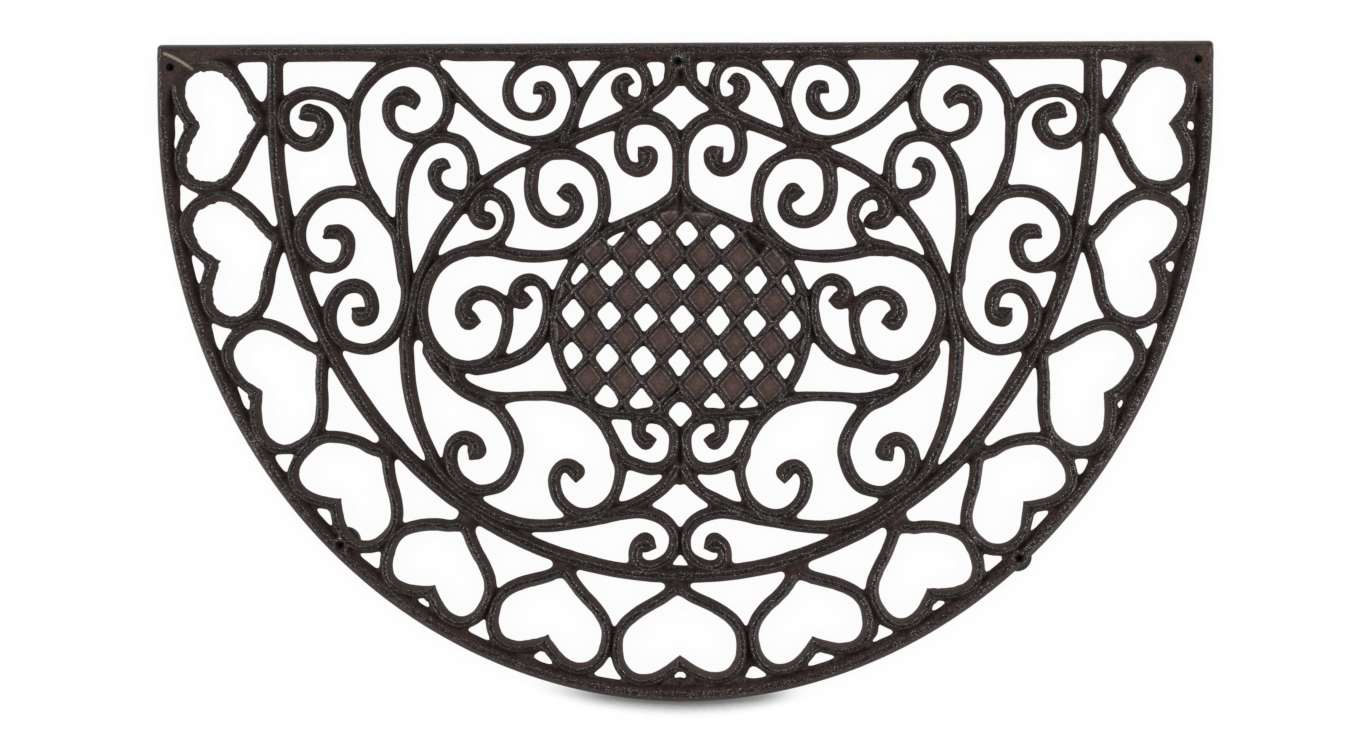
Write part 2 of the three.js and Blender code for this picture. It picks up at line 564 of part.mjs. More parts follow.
// Points of an ellipse round the medallion.
function medallionPoint(angle, grow) {
  const t = (angle * Math.PI) / 180;
  return [
    MEDALLION_CENTRE[0] + (MEDALLION_HALF_WIDTH + grow) * Math.cos(t),
    MEDALLION_CENTRE[1] + (MEDALLION_HALF_HEIGHT + grow) * Math.sin(t),
  ];
}

const mirrored = (solid) => solid.mirror([1, 0, 0]);
const half = []; // solids of the right half

for (const points of Object.values(BARS)) {
  half.push(bar(smooth(points.map(place))));
}
for (const outline of Object.values(WEBS)) {
  half.push(web(outline.map(([x, y]) => [toX(x), toY(y)])));
}

// Rim, from the back bar round to the front middle
const rimHalf = RIM_WIDTH / 2;
const rim = superellipse(
  MAT_WIDTH / 2, toY(RIM_SHOULDER), toY(RIM_SHOULDER) + MAT_DEPTH / 2,
  [RIM_EXPONENT_SIDE, RIM_EXPONENT_FRONT], rimHalf, 110,
).map(([x, y]) => new THREE.Vector3(x, y, rimHalf));
const rimBackY = MAT_DEPTH / 2 - rimHalf - CORNER_RADIUS;
half.push(bar([new THREE.Vector3(MAT_WIDTH / 2 - rimHalf, rimBackY, rimHalf), ...rim]));

// Inner arc
const arcHalf = ARC_WIDTH / 2;
const arc = superellipse(
  toX(ARC_HALF_SPAN), toY(ARC_SHOULDER), (ARC_SHOULDER - ARC_FRONT) * SY,
  [ARC_EXPONENT, ARC_EXPONENT], 0, 90,
).map(([x, y]) => new THREE.Vector3(x, y, arcHalf));
const backY = MAT_DEPTH / 2 - BACK_BAR_WIDTH / 2;
half.push(bar([new THREE.Vector3(toX(ARC_HALF_SPAN), backY, arcHalf), ...arc]));

// Back bar, with its corner cut off a little
const [cornerX, cornerY] = [MAT_WIDTH / 2, MAT_DEPTH / 2];
half.push(
  web([
    [-1, cornerY - BACK_BAR_WIDTH],
    [cornerX, cornerY - BACK_BAR_WIDTH],
    [cornerX, cornerY - CORNER_RADIUS],
    [cornerX - CORNER_RADIUS * 0.3, cornerY - CORNER_RADIUS * 0.3],
    [cornerX - CORNER_RADIUS, cornerY],
    [-1, cornerY],
  ]),
);

// Medallion's ring
const ring = [];
for (let angle = 48; angle >= -50; angle -= 7) {
  ring.push(place([...medallionPoint(angle, 0), MEDALLION_BAR_WIDTH / 2]));
}
half.push(bar(smooth(ring)));

// Hearts
const heartHalf = HEART_BAR_WIDTH / 2;
for (const heart of HEARTS) {
  const onMiddle = heart.tip[0] === 0;
  for (const side of onMiddle ? [0] : [0, 1]) {
    const run = lobeRun(heart, side, heartHalf).map(([x, y]) => place([x, y, heartHalf]));
    half.push(bar(run));
  }
}

const rightHalf = join(half);
const openwork = rightHalf.add(mirrored(rightHalf));

// Lattice: bars in two directions over the medallion's field
const turn = (LATTICE_TURN * Math.PI) / 180;
const latticePoint = (u, v) => [
  toX(LATTICE_ORIGIN[0] + u * Math.cos(turn) - v * Math.sin(turn)),
  toY(LATTICE_ORIGIN[1] + u * Math.sin(turn) + v * Math.cos(turn)),
];
const fieldOutline = [];
for (let angle = 0; angle < 360; angle += 10) {
  const [x, y] = medallionPoint(angle, 0);
  fieldOutline.push([toX(x), toY(Math.max(y, FIELD_SILL))]);
}
const arch = BARS.medallion_sill.slice(-4).map(([x, y]) => [toX(x), toY(y)]);
const underArch = [...arch, ...arch.slice(0, -1).reverse().map(([x, y]) => [-x, y])];
const field = prism(fieldOutline, BASE_Z - 1, TOP_Z + 1).subtract(
  prism(underArch, BASE_Z - 2, TOP_Z + 2),
);
const latticeBars = [];
const reach = 8;
for (let k = -reach; k < reach; k++) {
  for (const lean of [-1, 1]) {
    const ends = [-reach, reach].map((n) => {
      const [x, y] = latticePoint(
        (k + 0.5) * LATTICE_PITCH_X + (lean * n * LATTICE_PITCH_X) / 2,
        (n * LATTICE_PITCH_Y) / 2,
      );
      return new THREE.Vector3(x, y, LATTICE_BAR_WIDTH / 2);
    });
    latticeBars.push(bar(ends));
  }
}
const lattice = join(latticeBars).intersect(field);

// Outlines of the iron and of the openings, with steps that grow with the mat
const stepScale = Math.max(SX, SY, 1);
const errorOf = (loop) => (areaOf(loop) > 0 ? RIM_CHORD_ERROR : CHORD_ERROR) * stepScale;
const loops = outlines(openwork.add(lattice))
  .filter((loop) => Math.abs(areaOf(loop)) > SPREAD * SPREAD / 2)
  .map((loop) => filleted(thin(loop, CHORD_ERROR / 10), SPREAD))
  .map((loop) => eased(thin(loop, errorOf(loop))));
const body = join(loops.filter((loop) => areaOf(loop) > 0).map(draftedBody));
const openings = join(loops.filter((loop) => areaOf(loop) < 0).map(draftedBody));
const grille = body.subtract(openings);

// Thin panels that close every other opening of the lattice
const panels = [];
for (let i = -5; i <= 4; i++) {
  for (let j = -5; j <= 4; j++) {
    const [u, v] = [(i + 0.5) * LATTICE_PITCH_X, (j + 0.5) * LATTICE_PITCH_Y];
    const corners = [
      latticePoint(u + LATTICE_PITCH_X / 2, v),
      latticePoint(u, v + LATTICE_PITCH_Y / 2),
      latticePoint(u - LATTICE_PITCH_X / 2, v),
      latticePoint(u, v - LATTICE_PITCH_Y / 2),
    ];
    panels.push(prism(corners, BASE_Z, BASE_Z + PANEL_THICKNESS));
  }
}
const panel = join(panels).intersect(field);

// Foot holes
const holes = Object.entries(FOOT_PLACES).map(([name, [x, y]]) => [name, toX(x), toY(y)]);
const drills = holes.map(([, x, y]) => post(x, y, FOOT_HOLE_DIAMETER / 2, BASE_Z - 1, TOP_Z + 1));
const casting = grille.add(panel).subtract(join(drills));

// A push-in foot: round head with a filleted edge, and a stem that fills most of the hole.
function footGeometry(shiftX, shiftY) {
  const head = FOOT_HEAD_DIAMETER / 2;
  const headTop = FLOOR_CLEARANCE - FOOT_HEAD_CLEARANCE;
  const stem = FOOT_HOLE_DIAMETER / 2 - FOOT_STEM_CLEARANCE;
  const stemTop = TOP_Z - FOOT_STEM_RECESS;
  const fillet = Math.min(FOOT_EDGE_FILLET, headTop / 3);
  const profile = [
    [0, 0], [head - fillet, 0], [head - fillet * 0.3, fillet * 0.3], [head, fillet],
    [head, headTop - fillet * 0.5], [head - fillet * 0.5, headTop], [stem, headTop],
    [stem, stemTop - 0.6], [stem - 0.6, stemTop], [0, stemTop],
  ].map(([r, z]) => new THREE.Vector2(r, z));
  const geometry = new THREE.LatheGeometry(profile, ROUND_SIDES).rotateX(Math.PI / 2);
  const at = geometry.attributes.position;
  for (let i = 0; i < at.count; i++) {
    const [x, y, z] = [at.getX(i), at.getY(i), at.getZ(i)];
    const onHead = z < headTop - 1e-4 || Math.hypot(x, y) > stem + 1e-4;
    if (onHead) at.setXYZ(i, x + shiftX, y + shiftY, z);
  }
  return geometry;
}

const iron = new THREE.MeshStandardMaterial({ color: 0x38302c, roughness: 0.62, metalness: 0.55 });
const rubber = new THREE.MeshStandardMaterial({ color: 0x121212, roughness: 0.9, metalness: 0 });

const group = new THREE.Group();
const mat = new THREE.Mesh(geometryOf(casting), iron);
mat.name = "mat_casting";
group.add(mat);
for (const [name, x, y] of holes) {
  const [shiftX, shiftY] = FOOT_HEAD_SHIFTS[name] ?? [0, 0];
  const foot = new THREE.Mesh(footGeometry(shiftX, shiftY), rubber);
  foot.name = name;
  foot.position.set(x, y, 0);
  group.add(foot);
}

export default group;
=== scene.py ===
"""Half-round cast iron door mat: an openwork casting of scrolls, hearts and lattice on five rubber
feet.

The casting is a height field. Each bar gives every point near it two numbers: how far the point
lies inside the bar's outline, and how high the bar stands there. Both are blended from bar to bar,
which rounds the corners where bars meet and leaves a groove where they run side by side. Sizes in
the tables are millimetres. The object is made in metres, in the frame of the CAD model.
"""

import math

import bpy
import numpy as np
from bpy.props import FloatProperty, FloatVectorProperty, PointerProperty
from mathutils import Matrix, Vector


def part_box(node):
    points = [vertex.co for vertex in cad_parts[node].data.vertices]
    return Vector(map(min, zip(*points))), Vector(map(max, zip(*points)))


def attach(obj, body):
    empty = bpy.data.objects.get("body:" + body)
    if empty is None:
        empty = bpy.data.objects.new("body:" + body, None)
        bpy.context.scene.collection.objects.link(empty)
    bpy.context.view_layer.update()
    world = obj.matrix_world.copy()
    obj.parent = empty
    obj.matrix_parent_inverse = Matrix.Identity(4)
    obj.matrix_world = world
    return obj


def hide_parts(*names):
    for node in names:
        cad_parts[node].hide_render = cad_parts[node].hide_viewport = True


bl_info = {
    "name": "Cast Iron Door Mat",
    "version": (1, 0, 0),
    "blender": (4, 5, 0),
    "location": "View3D > Sidebar > Door Mat",
    "description": "Builds a half-round cast iron door mat over its packed frame",
    "category": "Object",
}

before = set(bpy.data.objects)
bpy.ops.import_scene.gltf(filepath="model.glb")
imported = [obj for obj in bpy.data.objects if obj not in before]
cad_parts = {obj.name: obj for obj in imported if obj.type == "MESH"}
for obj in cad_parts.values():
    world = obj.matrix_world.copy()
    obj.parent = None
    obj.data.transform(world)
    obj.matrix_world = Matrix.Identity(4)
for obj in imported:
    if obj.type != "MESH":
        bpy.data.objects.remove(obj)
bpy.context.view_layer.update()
CASTING_LOW, CASTING_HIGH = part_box("mat_casting")
MM = 0.001

# The mat as drawn, which the overall sizes stretch
DRAWN_WIDTH = 725
DRAWN_DEPTH = 452
DRAWN_MIDDLE = -1
# Rim and back bar: where the rim's straight side ends, how full its curve is at the side and in
# front
RIM_SHOULDER = 195
RIM_EXPONENTS = (2.11, 2)
CORNER_RADIUS = 2.5
# Inner arc: half its span, where its straight side ends and how far it comes to the front
ARC_HALF_SPAN = 280.5
ARC_SHOULDER = 180
ARC_FRONT = -140.5
ARC_EXPONENT = 2.03
# Medallion: the middle and the half width and depth of its ring, the sill that it stands on, its
# lattice, and a cell at its edge that is open wider
MEDALLION_Y = 31
MEDALLION_HALVES = (87, 79.5)
SILL_Y = -30
LATTICE_PITCH = (25.0, 29.5)
LATTICE_START = (1, 35.5)
LATTICE_TURN = -3
WIDE_CELL = (-50, 89)
# Distance that stands for no iron near, and the rounding of the groove between two bars
OUTSIDE = -9.0
GROOVE_REACH = 2.2
# Play of a foot in its hole, as in the CAD model
FOOT_GAP = 0.3

# Bars of the right half: x, y and half width of points along each centreline. A point without a
# half width has that of the point before it
BARS = {
    "crown_brace": [
        (4.5, 214, 5), (5, 204), (8, 197), (13.5, 191), (21, 185.5), (29.5, 179), (38, 174.5),
        (48, 170), (58, 166, 4.5), (68, 162), (80, 157),
    ],
    "crown_curl": [
        (38.5, 199.5, 5), (41, 197.5, 5.5), (42, 193.5, 6), (40.5, 188.5, 5), (36, 185, 4.5),
        (30.5, 183.5), (25.5, 186, 4), (23.5, 191.5), (23, 198), (25, 205), (30.5, 211),
        (38.5, 213, 4.5), (47, 211), (53.5, 207, 4), (59.5, 200.5, 3.5), (65, 192), (69.5, 183),
        (74, 174.5, 4), (76.5, 166.5, 4.5), (80, 159),
    ],
    "lyre": [
        (22.5, 147.5, 7), (22.5, 144, 6.5), (25, 139.5, 5.5), (30, 138, 5), (36.5, 140.5, 4.5),
        (40, 146), (41.5, 153), (41, 160), (38.5, 167.5), (33, 172.5, 5), (25, 174), (16, 172),
        (9, 167), (4, 160), (1.5, 152, 4.5), (1, 142), (1, 133), (2, 126), (5, 119.5), (11, 114.5),
        (20, 109), (30, 104.5), (40, 100), (48, 96.5), (56, 91),
    ],
    "great_c": [
        (97, 194.5, 4.5), (93.5, 194, 5), (91, 190.5), (91, 184.5), (94, 179, 4.5), (99.5, 175, 3),
        (106.5, 175), (113, 178, 3.5), (117.5, 184, 4), (119, 191.5), (117.5, 199.5),
        (112.5, 206.5), (105, 211.5), (96, 214), (86, 212), (79.5, 207, 3.5), (75.5, 200),
        (73, 192), (72.5, 184), (73.5, 176, 4), (77, 168.5), (82, 163.5), (88, 160), (95, 158),
        (103, 158, 3.5), (110, 159.5), (118, 162.5), (126, 166.5), (134, 172), (142, 179),
        (150, 187, 4), (157.5, 195), (163.5, 203), (169, 211), (172, 217, 4.5),
    ],
    "top_scroll": [
        (185, 186.5, 5.5), (191, 189.5, 6.5), (197, 187.5, 5.5), (200.5, 184, 5), (201.5, 178, 4.5),
        (200, 170.5, 4), (195.5, 164.5, 3.5), (190, 161.5), (184, 160), (177, 161, 4), (170.5, 164),
        (165, 169), (161.5, 174.5), (160, 181), (160.5, 189), (163, 198), (167.5, 206.5, 4.5),
        (175, 211.5), (185, 213.5), (196, 211.5), (207, 207), (215, 200), (221.5, 190.5, 4),
        (225.5, 180), (226, 171), (226, 162, 4.5), (225.5, 154), (224.5, 146), (222, 138),
        (219, 129.5), (214.5, 120), (208.5, 110.5), (202, 102.5), (196, 93.5), (193.5, 84),
        (191.5, 74), (190, 64),
    ],
    "side_scroll": [
        (227, 177, 4.5), (231, 181.5), (236, 185.5), (241.5, 188.5), (248, 190.5), (255, 191.5),
        (262, 190.5), (268.5, 187), (273.5, 181.5), (275, 174), (273.5, 166.5), (269.5, 161),
        (264, 157, 5), (258, 156), (252, 158), (248, 162.5, 5.5), (245.5, 168), (247, 173.5),
        (250.5, 176.5), (257, 178, 6),
    ],
    "arch_scroll": [
        (207, 110.5, 4.5), (213, 117), (220, 121), (228, 123), (236, 123), (244, 121), (251, 117),
        (257, 111), (261.5, 103.5), (263.5, 95), (262.5, 87), (259, 80), (253, 75, 4), (246, 71),
        (239, 71), (233.5, 74.5, 4.5), (230.5, 80, 5), (229.5, 86), (231, 91.5, 5.5), (235, 95),
        (241.5, 95.5, 5),
    ],
    "long_s": [
        (220, 37, 7), (215.5, 37.5, 6), (213, 42, 5), (213.5, 48), (216, 54), (221, 57.5),
        (227.5, 58), (234, 55.5), (238.5, 50), (241.5, 43.5), (242.5, 36), (240.5, 27.5, 4.5),
        (235, 20, 4), (227, 16), (217, 14.5), (208, 17), (200, 23, 4.5), (194, 32), (190, 42),
        (188.5, 52), (189, 62), (190, 72), (191, 82), (192, 92), (192.5, 103), (192.5, 112),
        (192, 122), (190.5, 133), (187, 143), (181.5, 151.5, 4), (175, 157.5), (167, 160.5),
        (158, 160), (150.5, 156.5, 4.5), (145.5, 149.5, 4), (143, 141), (143, 133, 4.5),
        (143.5, 126), (147, 118.5), (151, 113.5), (155, 108.5), (160, 102), (165, 94.5),
        (169, 87.5), (172.5, 79.5), (176, 72), (179.5, 64), (182, 56, 5), (183.5, 47), (185.5, 37),
        (188, 27), (189, 17), (188.5, 8), (188, -1), (187, -10), (185.5, -18), (183.5, -27),
        (181, -36, 4.5), (177.5, -45), (173, -55), (168.5, -65), (162, -73.5), (154, -81),
        (145, -88), (136, -94.5), (126, -100), (115.5, -104), (104, -106.5), (94, -107), (82, -106),
        (70, -104), (58, -102), (46, -99), (36, -97.5), (27, -97), (19.5, -98.5), (12.5, -101.5),
        (7, -106.5), (3.5, -113.5), (4, -121), (7, -127.5), (12.5, -132), (19.5, -134.5),
        (26, -134, 5), (30, -130), (30.5, -124.5), (28.5, -120, 5.5), (24, -118, 7),
    ],
    "great_scroll": [
        (77, 122.5, 6.5), (72.5, 118, 5), (71.5, 112), (74, 106.5), (79, 103, 4.5), (85.5, 102),
        (92, 104), (98, 109, 5), (101.5, 116), (103, 124), (102.5, 133), (101, 140), (97.5, 144.5),
        (91, 148.5, 4.5), (83, 149.5), (75.5, 149), (68, 146), (61, 141), (56, 134.5),
        (53.5, 127.5), (52.5, 120), (52.5, 112), (54.5, 104), (58.5, 96.5), (64.5, 90),
        (72, 84.5, 4), (80, 80.5), (89, 79), (98, 78.5, 4.5), (108, 79), (120, 81), (131, 83.5),
        (143, 83, 4), (153, 80.5, 4.5), (162, 76), (169.5, 69), (174.5, 60), (177.5, 50),
        (178.5, 40), (176.5, 29), (172, 19), (165, 10), (157, 4.5), (148, 2.5), (138, 3),
        (130.5, 7), (125.5, 12.5, 4), (122, 19.5), (120, 27.5), (119, 36), (120.5, 42.5, 4.5),
        (124.5, 48.5), (130, 52), (137, 53.5, 5), (144, 51), (148.5, 46, 5.5), (149.5, 40, 6),
        (146, 34.5, 7),
    ],
    "slanting_tie": [
        (98, 150, 4), (104, 147, 4.5), (110, 144.5), (116, 141.5), (123, 137.5), (130, 133),
        (137, 128), (142, 123.5), (147, 117.5),
    ],
    "hook": [
        (133.5, 103, 6.5), (138.5, 104.5, 6), (141, 111), (138, 118.5, 5), (132.5, 121.5, 4.5),
        (127, 120.5), (122.5, 117.5), (119.5, 112.5), (118, 106, 4), (119, 100), (121.5, 94.5),
        (126, 89.5, 4.5), (132, 86), (140, 84),
    ],
    "inner_curl": [
        (148.5, 116, 5), (153.5, 120, 4.5), (160, 121.5), (165.5, 124.5), (169, 130),
        (169.5, 136, 5), (167, 140.5), (164, 142, 4.5),
    ],
    "low_scroll": [
        (109.5, 48.5, 6.5), (113, 53, 5.5), (112.5, 57, 5), (109, 61, 4.5), (103.5, 62.5),
        (98, 61, 4), (94, 57), (92, 51.5), (91, 44.5), (91.5, 36, 4.5), (93.5, 28), (97, 21.5, 5),
        (101, 16.5), (105, 12.5), (110, 9.5), (116, 7, 4.5), (123, 5.5), (131, 3), (140, 1.5),
    ],
    "lower_scroll": [
        (71.5, -69.5, 6), (75, -66.5, 5.5), (79.5, -65.5, 5), (84, -68.5, 4.5), (86.5, -74.5),
        (86, -81), (83.5, -88), (78.5, -94), (72, -98), (64, -99), (56.5, -97), (50, -92.5),
        (45.5, -86, 4), (42.5, -78), (41, -69), (42, -61, 4.5), (43.5, -54), (47.5, -45.5),
        (51.5, -38), (57, -31), (63.5, -25), (72, -20.5), (81, -18.5, 4), (90, -17.5, 3.5),
        (100, -17.5), (112, -18), (122, -19, 4), (132, -18), (141, -15.5, 4.5), (148.5, -11.5),
        (153, -6), (156, 1),
    ],
    "centre_scroll": [
        (43, -57, 4.5), (38, -61.5), (30, -65), (20, -67.5), (11, -65.5), (5.5, -59.5), (3.5, -51),
        (4, -43), (8.5, -36.5), (15, -32), (22, -31), (27, -34, 5), (28.5, -40), (27.5, -45),
        (23.5, -48.5, 6),
    ],
    "front_c": [
        (140, -55, 6.5), (141, -50.5, 5.5), (144.5, -47.5, 5), (149, -46.5), (154, -48.5),
        (157.5, -53.5), (158.5, -60), (157.5, -67), (153.5, -74, 4.5), (147, -79.5),
        (139.5, -82.5, 4), (131, -82), (123.5, -79, 4.5), (117.5, -72.5), (114, -64.5),
        (112, -55.5), (113.5, -46.5), (117.5, -38), (122.5, -30.5), (129, -24), (137, -19.5, 5),
        (146, -15), (154, -9.5), (161.5, -3), (168, 4.5), (173, 13),
    ],
    "centre_fork": [
        (2.5, -66, 5), (7, -74.5), (12, -80), (18.5, -85), (26, -89.5), (34, -93, 4.5), (43, -96),
        (52, -99),
    ],
    "medallion_sill": [
        (54, -28.5, 4), (46, -29.5), (36, -30), (26, -30.5), (17, -30.5), (12, -26.5), (7, -21),
        (0, -15.5),
    ],
}

# Ends of bars that are free and drawn out to a beak towards the inside of their curl: its turn in
# degrees, how far it stands out past the bar's half width, and its half width at the tip
BEAK_TURN, BEAK_PAST, BEAK_TIP = 50, 1.2, 0.7
BEAKS = {
    "crown_curl": (0,), "lyre": (0,), "great_c": (0,), "top_scroll": (0,), "side_scroll": (-1,),
    "arch_scroll": (-1,), "long_s": (0, -1), "great_scroll": (0, -1), "inner_curl": (-1,),
    "low_scroll": (0,), "lower_scroll": (0,), "centre_scroll": (-1,), "front_c": (0,),
}

# Solid webs of the right half, as outlines
WEBS = {
    "crown_stub": [(0, 214), (10.5, 214), (10.5, 203), (6, 200), (0, 197.5)],
    "roof_web": [(0, 122), (4, 117), (10, 111.5), (22, 105), (14, 102), (0, 103)],
    "centre_web": [(0, -56), (6, -62), (6, -74), (0, -77)],
    "corner_web": [
        (302, 222), (358, 222), (358, 174), (353.5, 176), (350, 191), (342, 204.5), (328, 211),
        (312, 213.5),
    ],
    "front_web": [(0, -211.5), (3.5, -211), (6, -207.5), (11, -206), (15, -217), (0, -217)],
}

# Hearts: tip, direction of the axis in degrees, depth of the notch from the tip, and for each lobe,
# anticlockwise side first, its length from the tip, its half width and how far its flank bows out
HEARTS = [
    ((293.5, 171), -3.5, 39, ((49, 38.5, 1), (50, 39, -1.5))),
    ((282, 89), -20.5, 39, ((49.5, 39.5, 3), (53, 40, -3))),
    ((251, 10.5), -33.5, 45, ((50.5, 38.5, 0.5), (59, 42, -2))),
    ((206.5, -60), -46, 40, ((51.5, 37, 3.5), (52, 37, -2))),
    ((151, -110.5), -64.5, 42, ((49.5, 35.5, 2.5), (54, 33, -2))),
    ((81, -142), -76, 41, ((50.5, 36, 0), (54.5, 36.5, -2))),
    ((-1.5, -153.5), -88, 41.5, ((54, 39, 0.5), (54, 39, 0))),
]
# How ragged the flash inside each heart is, left and right side of the mat
HEART_FLASH = [
    (1, 0.5), (0.9, 0.3), (0.3, 0.3), (0.15, 0.15), (0.15, 0.3), (0.3, 0.2), (0.1, 0.1),
]
# One lobe's inner edge from the tip round to the notch, as shares of its length and half width
LOBE = [
    (0.04, 0.08), (0.08, 0.155), (0.12, 0.24), (0.19, 0.42), (0.26, 0.6), (0.33, 0.745),
    (0.42, 0.885), (0.53, 0.975), (0.64, 1), (0.74, 0.995), (0.83, 0.97), (0.91, 0.91),
    (0.97, 0.82), (1, 0.7),
]
LOBE_RETURN = [(0.98, 0.53), (0.8, 0.37), (0.52, 0.22), (0.25, 0.1)]

# Where the casting differs from its mirror image: x, y, reach and how much iron is added there, or
# taken off where it is negative
HAND_WORK = [
    (43.5, -205.5, 4, 4), (134, -178, 3.5, 2.5), (347.5, 172.5, 3, 2.3), (347.5, 161.5, 3.5, 2),
    (336, 76, 2.5, 1.2), (331.5, 67, 3.5, 2), (289, 203, 5, 1.5), (288.5, 192, 4, 1.3),
    (302, 211.5, 5, 1.8), (309, 212, 4, 2), (288, 184.5, 3, 2.5), (-289, 184.5, 3, 2.5),
    (-233, 174, 5, 1.8), (-255, 70, 3, 2.5), (254.5, 70, 3, 2.2), (125, 100, 3.5, 2.2),
    (181.5, 23, 3, 2.2), (-181, 23, 3, 2.2), (-122, -1, 6, 1.2), (-102, -194, 4, 2),
    (231, 175, 5, 1.4), (-310, 211, 4, 1.5), (-335, 105, 4, 1.2), (294.5, -6.5, 6, -2.2),
    (-298.5, -4, 6, -2.2), (320, 63, 6, -1.4), (326, 86, 6, -1.4), (338, 184, 7, -1.4),
    (-329, 86, 5, -1.4), (-341, 113, 4.5, -2.4), (-317, 20, 4.5, -2.2), (-272, -62, 5, -2.4),
    (273, -67, 3.5, -1.5), (-348, 156, 3.5, -1.8), (-299, -22, 3.5, -1.5), (-253, 23, 4.5, -1.8),
    (-204, 112, 4.5, -1.8), (-154, -99, 3, -2), (-164, 210, 3.5, -2), (229, 146, 7, -1.6),
    (231.5, 158, 5, -1), (144, -8.5, 6, -1.4), (150, -16, 5, -1.2), (160, 68, 7, -1),
    (171, 45, 7, -1), (196, 72, 6, -1), (-46, -15, 4.5, -1.8), (-21, 3, 3.5, -1.2),
    (-70, 16, 3.5, -1.2), (18, -79, 5, -1.4), (9, -123, 4, -1.2), (67, 143, 5, -1.4),
    (227, -107, 6, -1.8), (47.5, -199.5, 3, 3), (302.5, -15.5, 3, 2.2), (-21.5, 66, 6, -1.3),
    (-24.5, 7.5, 6, -1), (0, 6, 6, 1.2), (50.5, 33.5, 6, 1.3), (53, 63, 6, 1), (3, 66, 6, 0.6),
    (-49, 8, 5, -0.9), (51, 87, 3.5, 5), (0, 90, 5, 1.5), (-46, 75, 5, 1.3), (147, 110, 4, 2),
]
# Where bars lie a little aside of the mirror image: x, y, reach, and how far they lie aside in x
# and y
SET_ASIDE = [
    (184, -63, 22, 0.9, -1.1), (250, -32, 14, 1, 0), (136, -137, 14, 1.2, -0.6),
    (142, -163, 8, 0.8, 0.6), (72, -148, 10, 1, -0.9), (202, -84, 12, 0.9, 0),
    (-203, -135, 10, 1.2, 0), (-293, 107, 9, -0.7, -1),
]

# Foot holes, drilled by hand and so not quite alike on the two sides
FOOT_PLACES = {
    "rubber_foot_back_left": (-351, 208),
    "rubber_foot_back_centre": (-1.5, 211),
    "rubber_foot_back_right": (350, 211),
    "rubber_foot_front_left": (-233, -120),
    "rubber_foot_front_right": (230.5, -127),
}

# The photographer's camera: its place over the mat in millimetres, its turn about the mat's depth
# axis and about its own line of sight in degrees, and the length of its lens in millimetres
CAMERA_PLACE = (28.6, -2.0, 1050.0)
CAMERA_TURN = 1.45
CAMERA_ROLL = 0.08
CAMERA_LENS = 40.03

# Floor: half its side in metres and how many cells it is cut into. Lamps: size, distance to the
# side and height, in metres
FLOOR_HALF = 6
FLOOR_CELLS = 40
LAMP_SIZE = (0.9, 0.6)
LAMP_ASIDE = 0.85
LAMP_HEIGHT = 0.55


# ---------------------------------------------------------------- sizes, finish and light


def length(title, text, value, low=0.0001, high=2.0):
    """A size in metres that a user may change."""
    return FloatProperty(
        name=title, description=text, default=value, min=low, max=high, unit="LENGTH"
    )


def share(title, text, value, high=1.0):
    """A plain number that a user may change."""
    return FloatProperty(name=title, description=text, default=value, min=0.0, max=high)


def colour(title, text, value):
    """A colour that a user may change, as linear red, green and blue."""
    return FloatVectorProperty(
        name=title, description=text, default=value, subtype="COLOR", size=3, min=0.0, max=1.0
    )


class DoorMatSizes(bpy.types.PropertyGroup):
    """Sizes of the mat, in metres."""

    width: length("Width", "Length of the straight back edge", CASTING_HIGH.x - CASTING_LOW.x)
    depth: length("Depth", "From the back edge to the front", CASTING_HIGH.y - CASTING_LOW.y)
    clearance: length("Clearance", "Underside of the casting above the floor", CASTING_LOW.z, 0.0)
    thickness: length("Thickness", "Thickness of the casting", CASTING_HIGH.z - CASTING_LOW.z)
    back_bar: length("Back bar width", "Width of the straight back bar", 0.012)
    rim: length("Rim width", "Width of the half-round rim", 0.0115)
    arc: length("Inner arc width", "Width of the arc inside the hearts", 0.011)
    heart_bar: length("Heart bar width", "Width of the bars of the hearts", 0.0086)
    ring: length("Medallion ring width", "Width of the ring round the lattice", 0.0078)
    lattice_bar: length("Lattice bar width", "Width of the bars of the lattice", 0.0055)
    plate: length("Plate thickness", "Thickness of the closed cells of the lattice", 0.0035)
    edge: length("Edge height", "Height of a bar's upright edge under its rounded top", 0.0012)
    fillet: length("Fillet", "Rounding of the corners where bars meet", 0.0045)
    hole: length("Foot hole diameter", "Diameter of the foot holes", 0.0052)
    grid: length("Grid", "Spacing of the points that the surface is worked out on", 0.00085)


class DoorMatFinish(bpy.types.PropertyGroup):
    """Colours and wear of the iron and the rubber, and the colours of the painted highlights and
    reflections on the iron.
    """

    brown: colour("Brown", "Main colour of the flanks and plates", (0.08, 0.0485, 0.0405))
    umber: colour("Umber", "Darker patches of the flanks", (0.02, 0.0135, 0.012))
    rust: colour("Rust", "Reddish patches", (0.085, 0.044, 0.033))
    ridge: colour("Ridge", "Nearly black ground of the ridges", (0.007, 0.0052, 0.005))
    # painted highlights: the fleck colour makes the glints along the ridges and a few pale grains,
    # and the pale line round the closed cells
    fleck: colour("Fleck", "Pale grains on the ridges", (0.55, 0.53, 0.52))
    # painted highlight: a grey sheen line along each side of the ridges
    sheen: colour("Sheen", "Grey of the worn lines beside the ridges", (0.132, 0.116, 0.11))
    # painted reflection: this pale colour lightens the foot of the flanks, and it also makes the
    # hearts' inner flanks paler
    dust: colour("Dust", "Greyish brown foot of the flanks", (0.095, 0.072, 0.066))
    plate: colour("Plate", "Closed cells of the lattice", (0.112, 0.07, 0.06))
    # painted highlight on the outer edge of the back bar and the far left of the rim
    bare: colour("Bare edge", "Greyish outer edge of the back bar", (0.165, 0.16, 0.13))
    rubber: colour("Rubber", "Feet", (0.012, 0.012, 0.012))
    flecks: share("Flecks", "How many pale grains the ridges show", 0.9)
    rusting: share("Rusting", "How much of the flanks is reddish", 0.35)
    grain: share("Grain", "Depth of the sand grain", 0.55, 2.0)


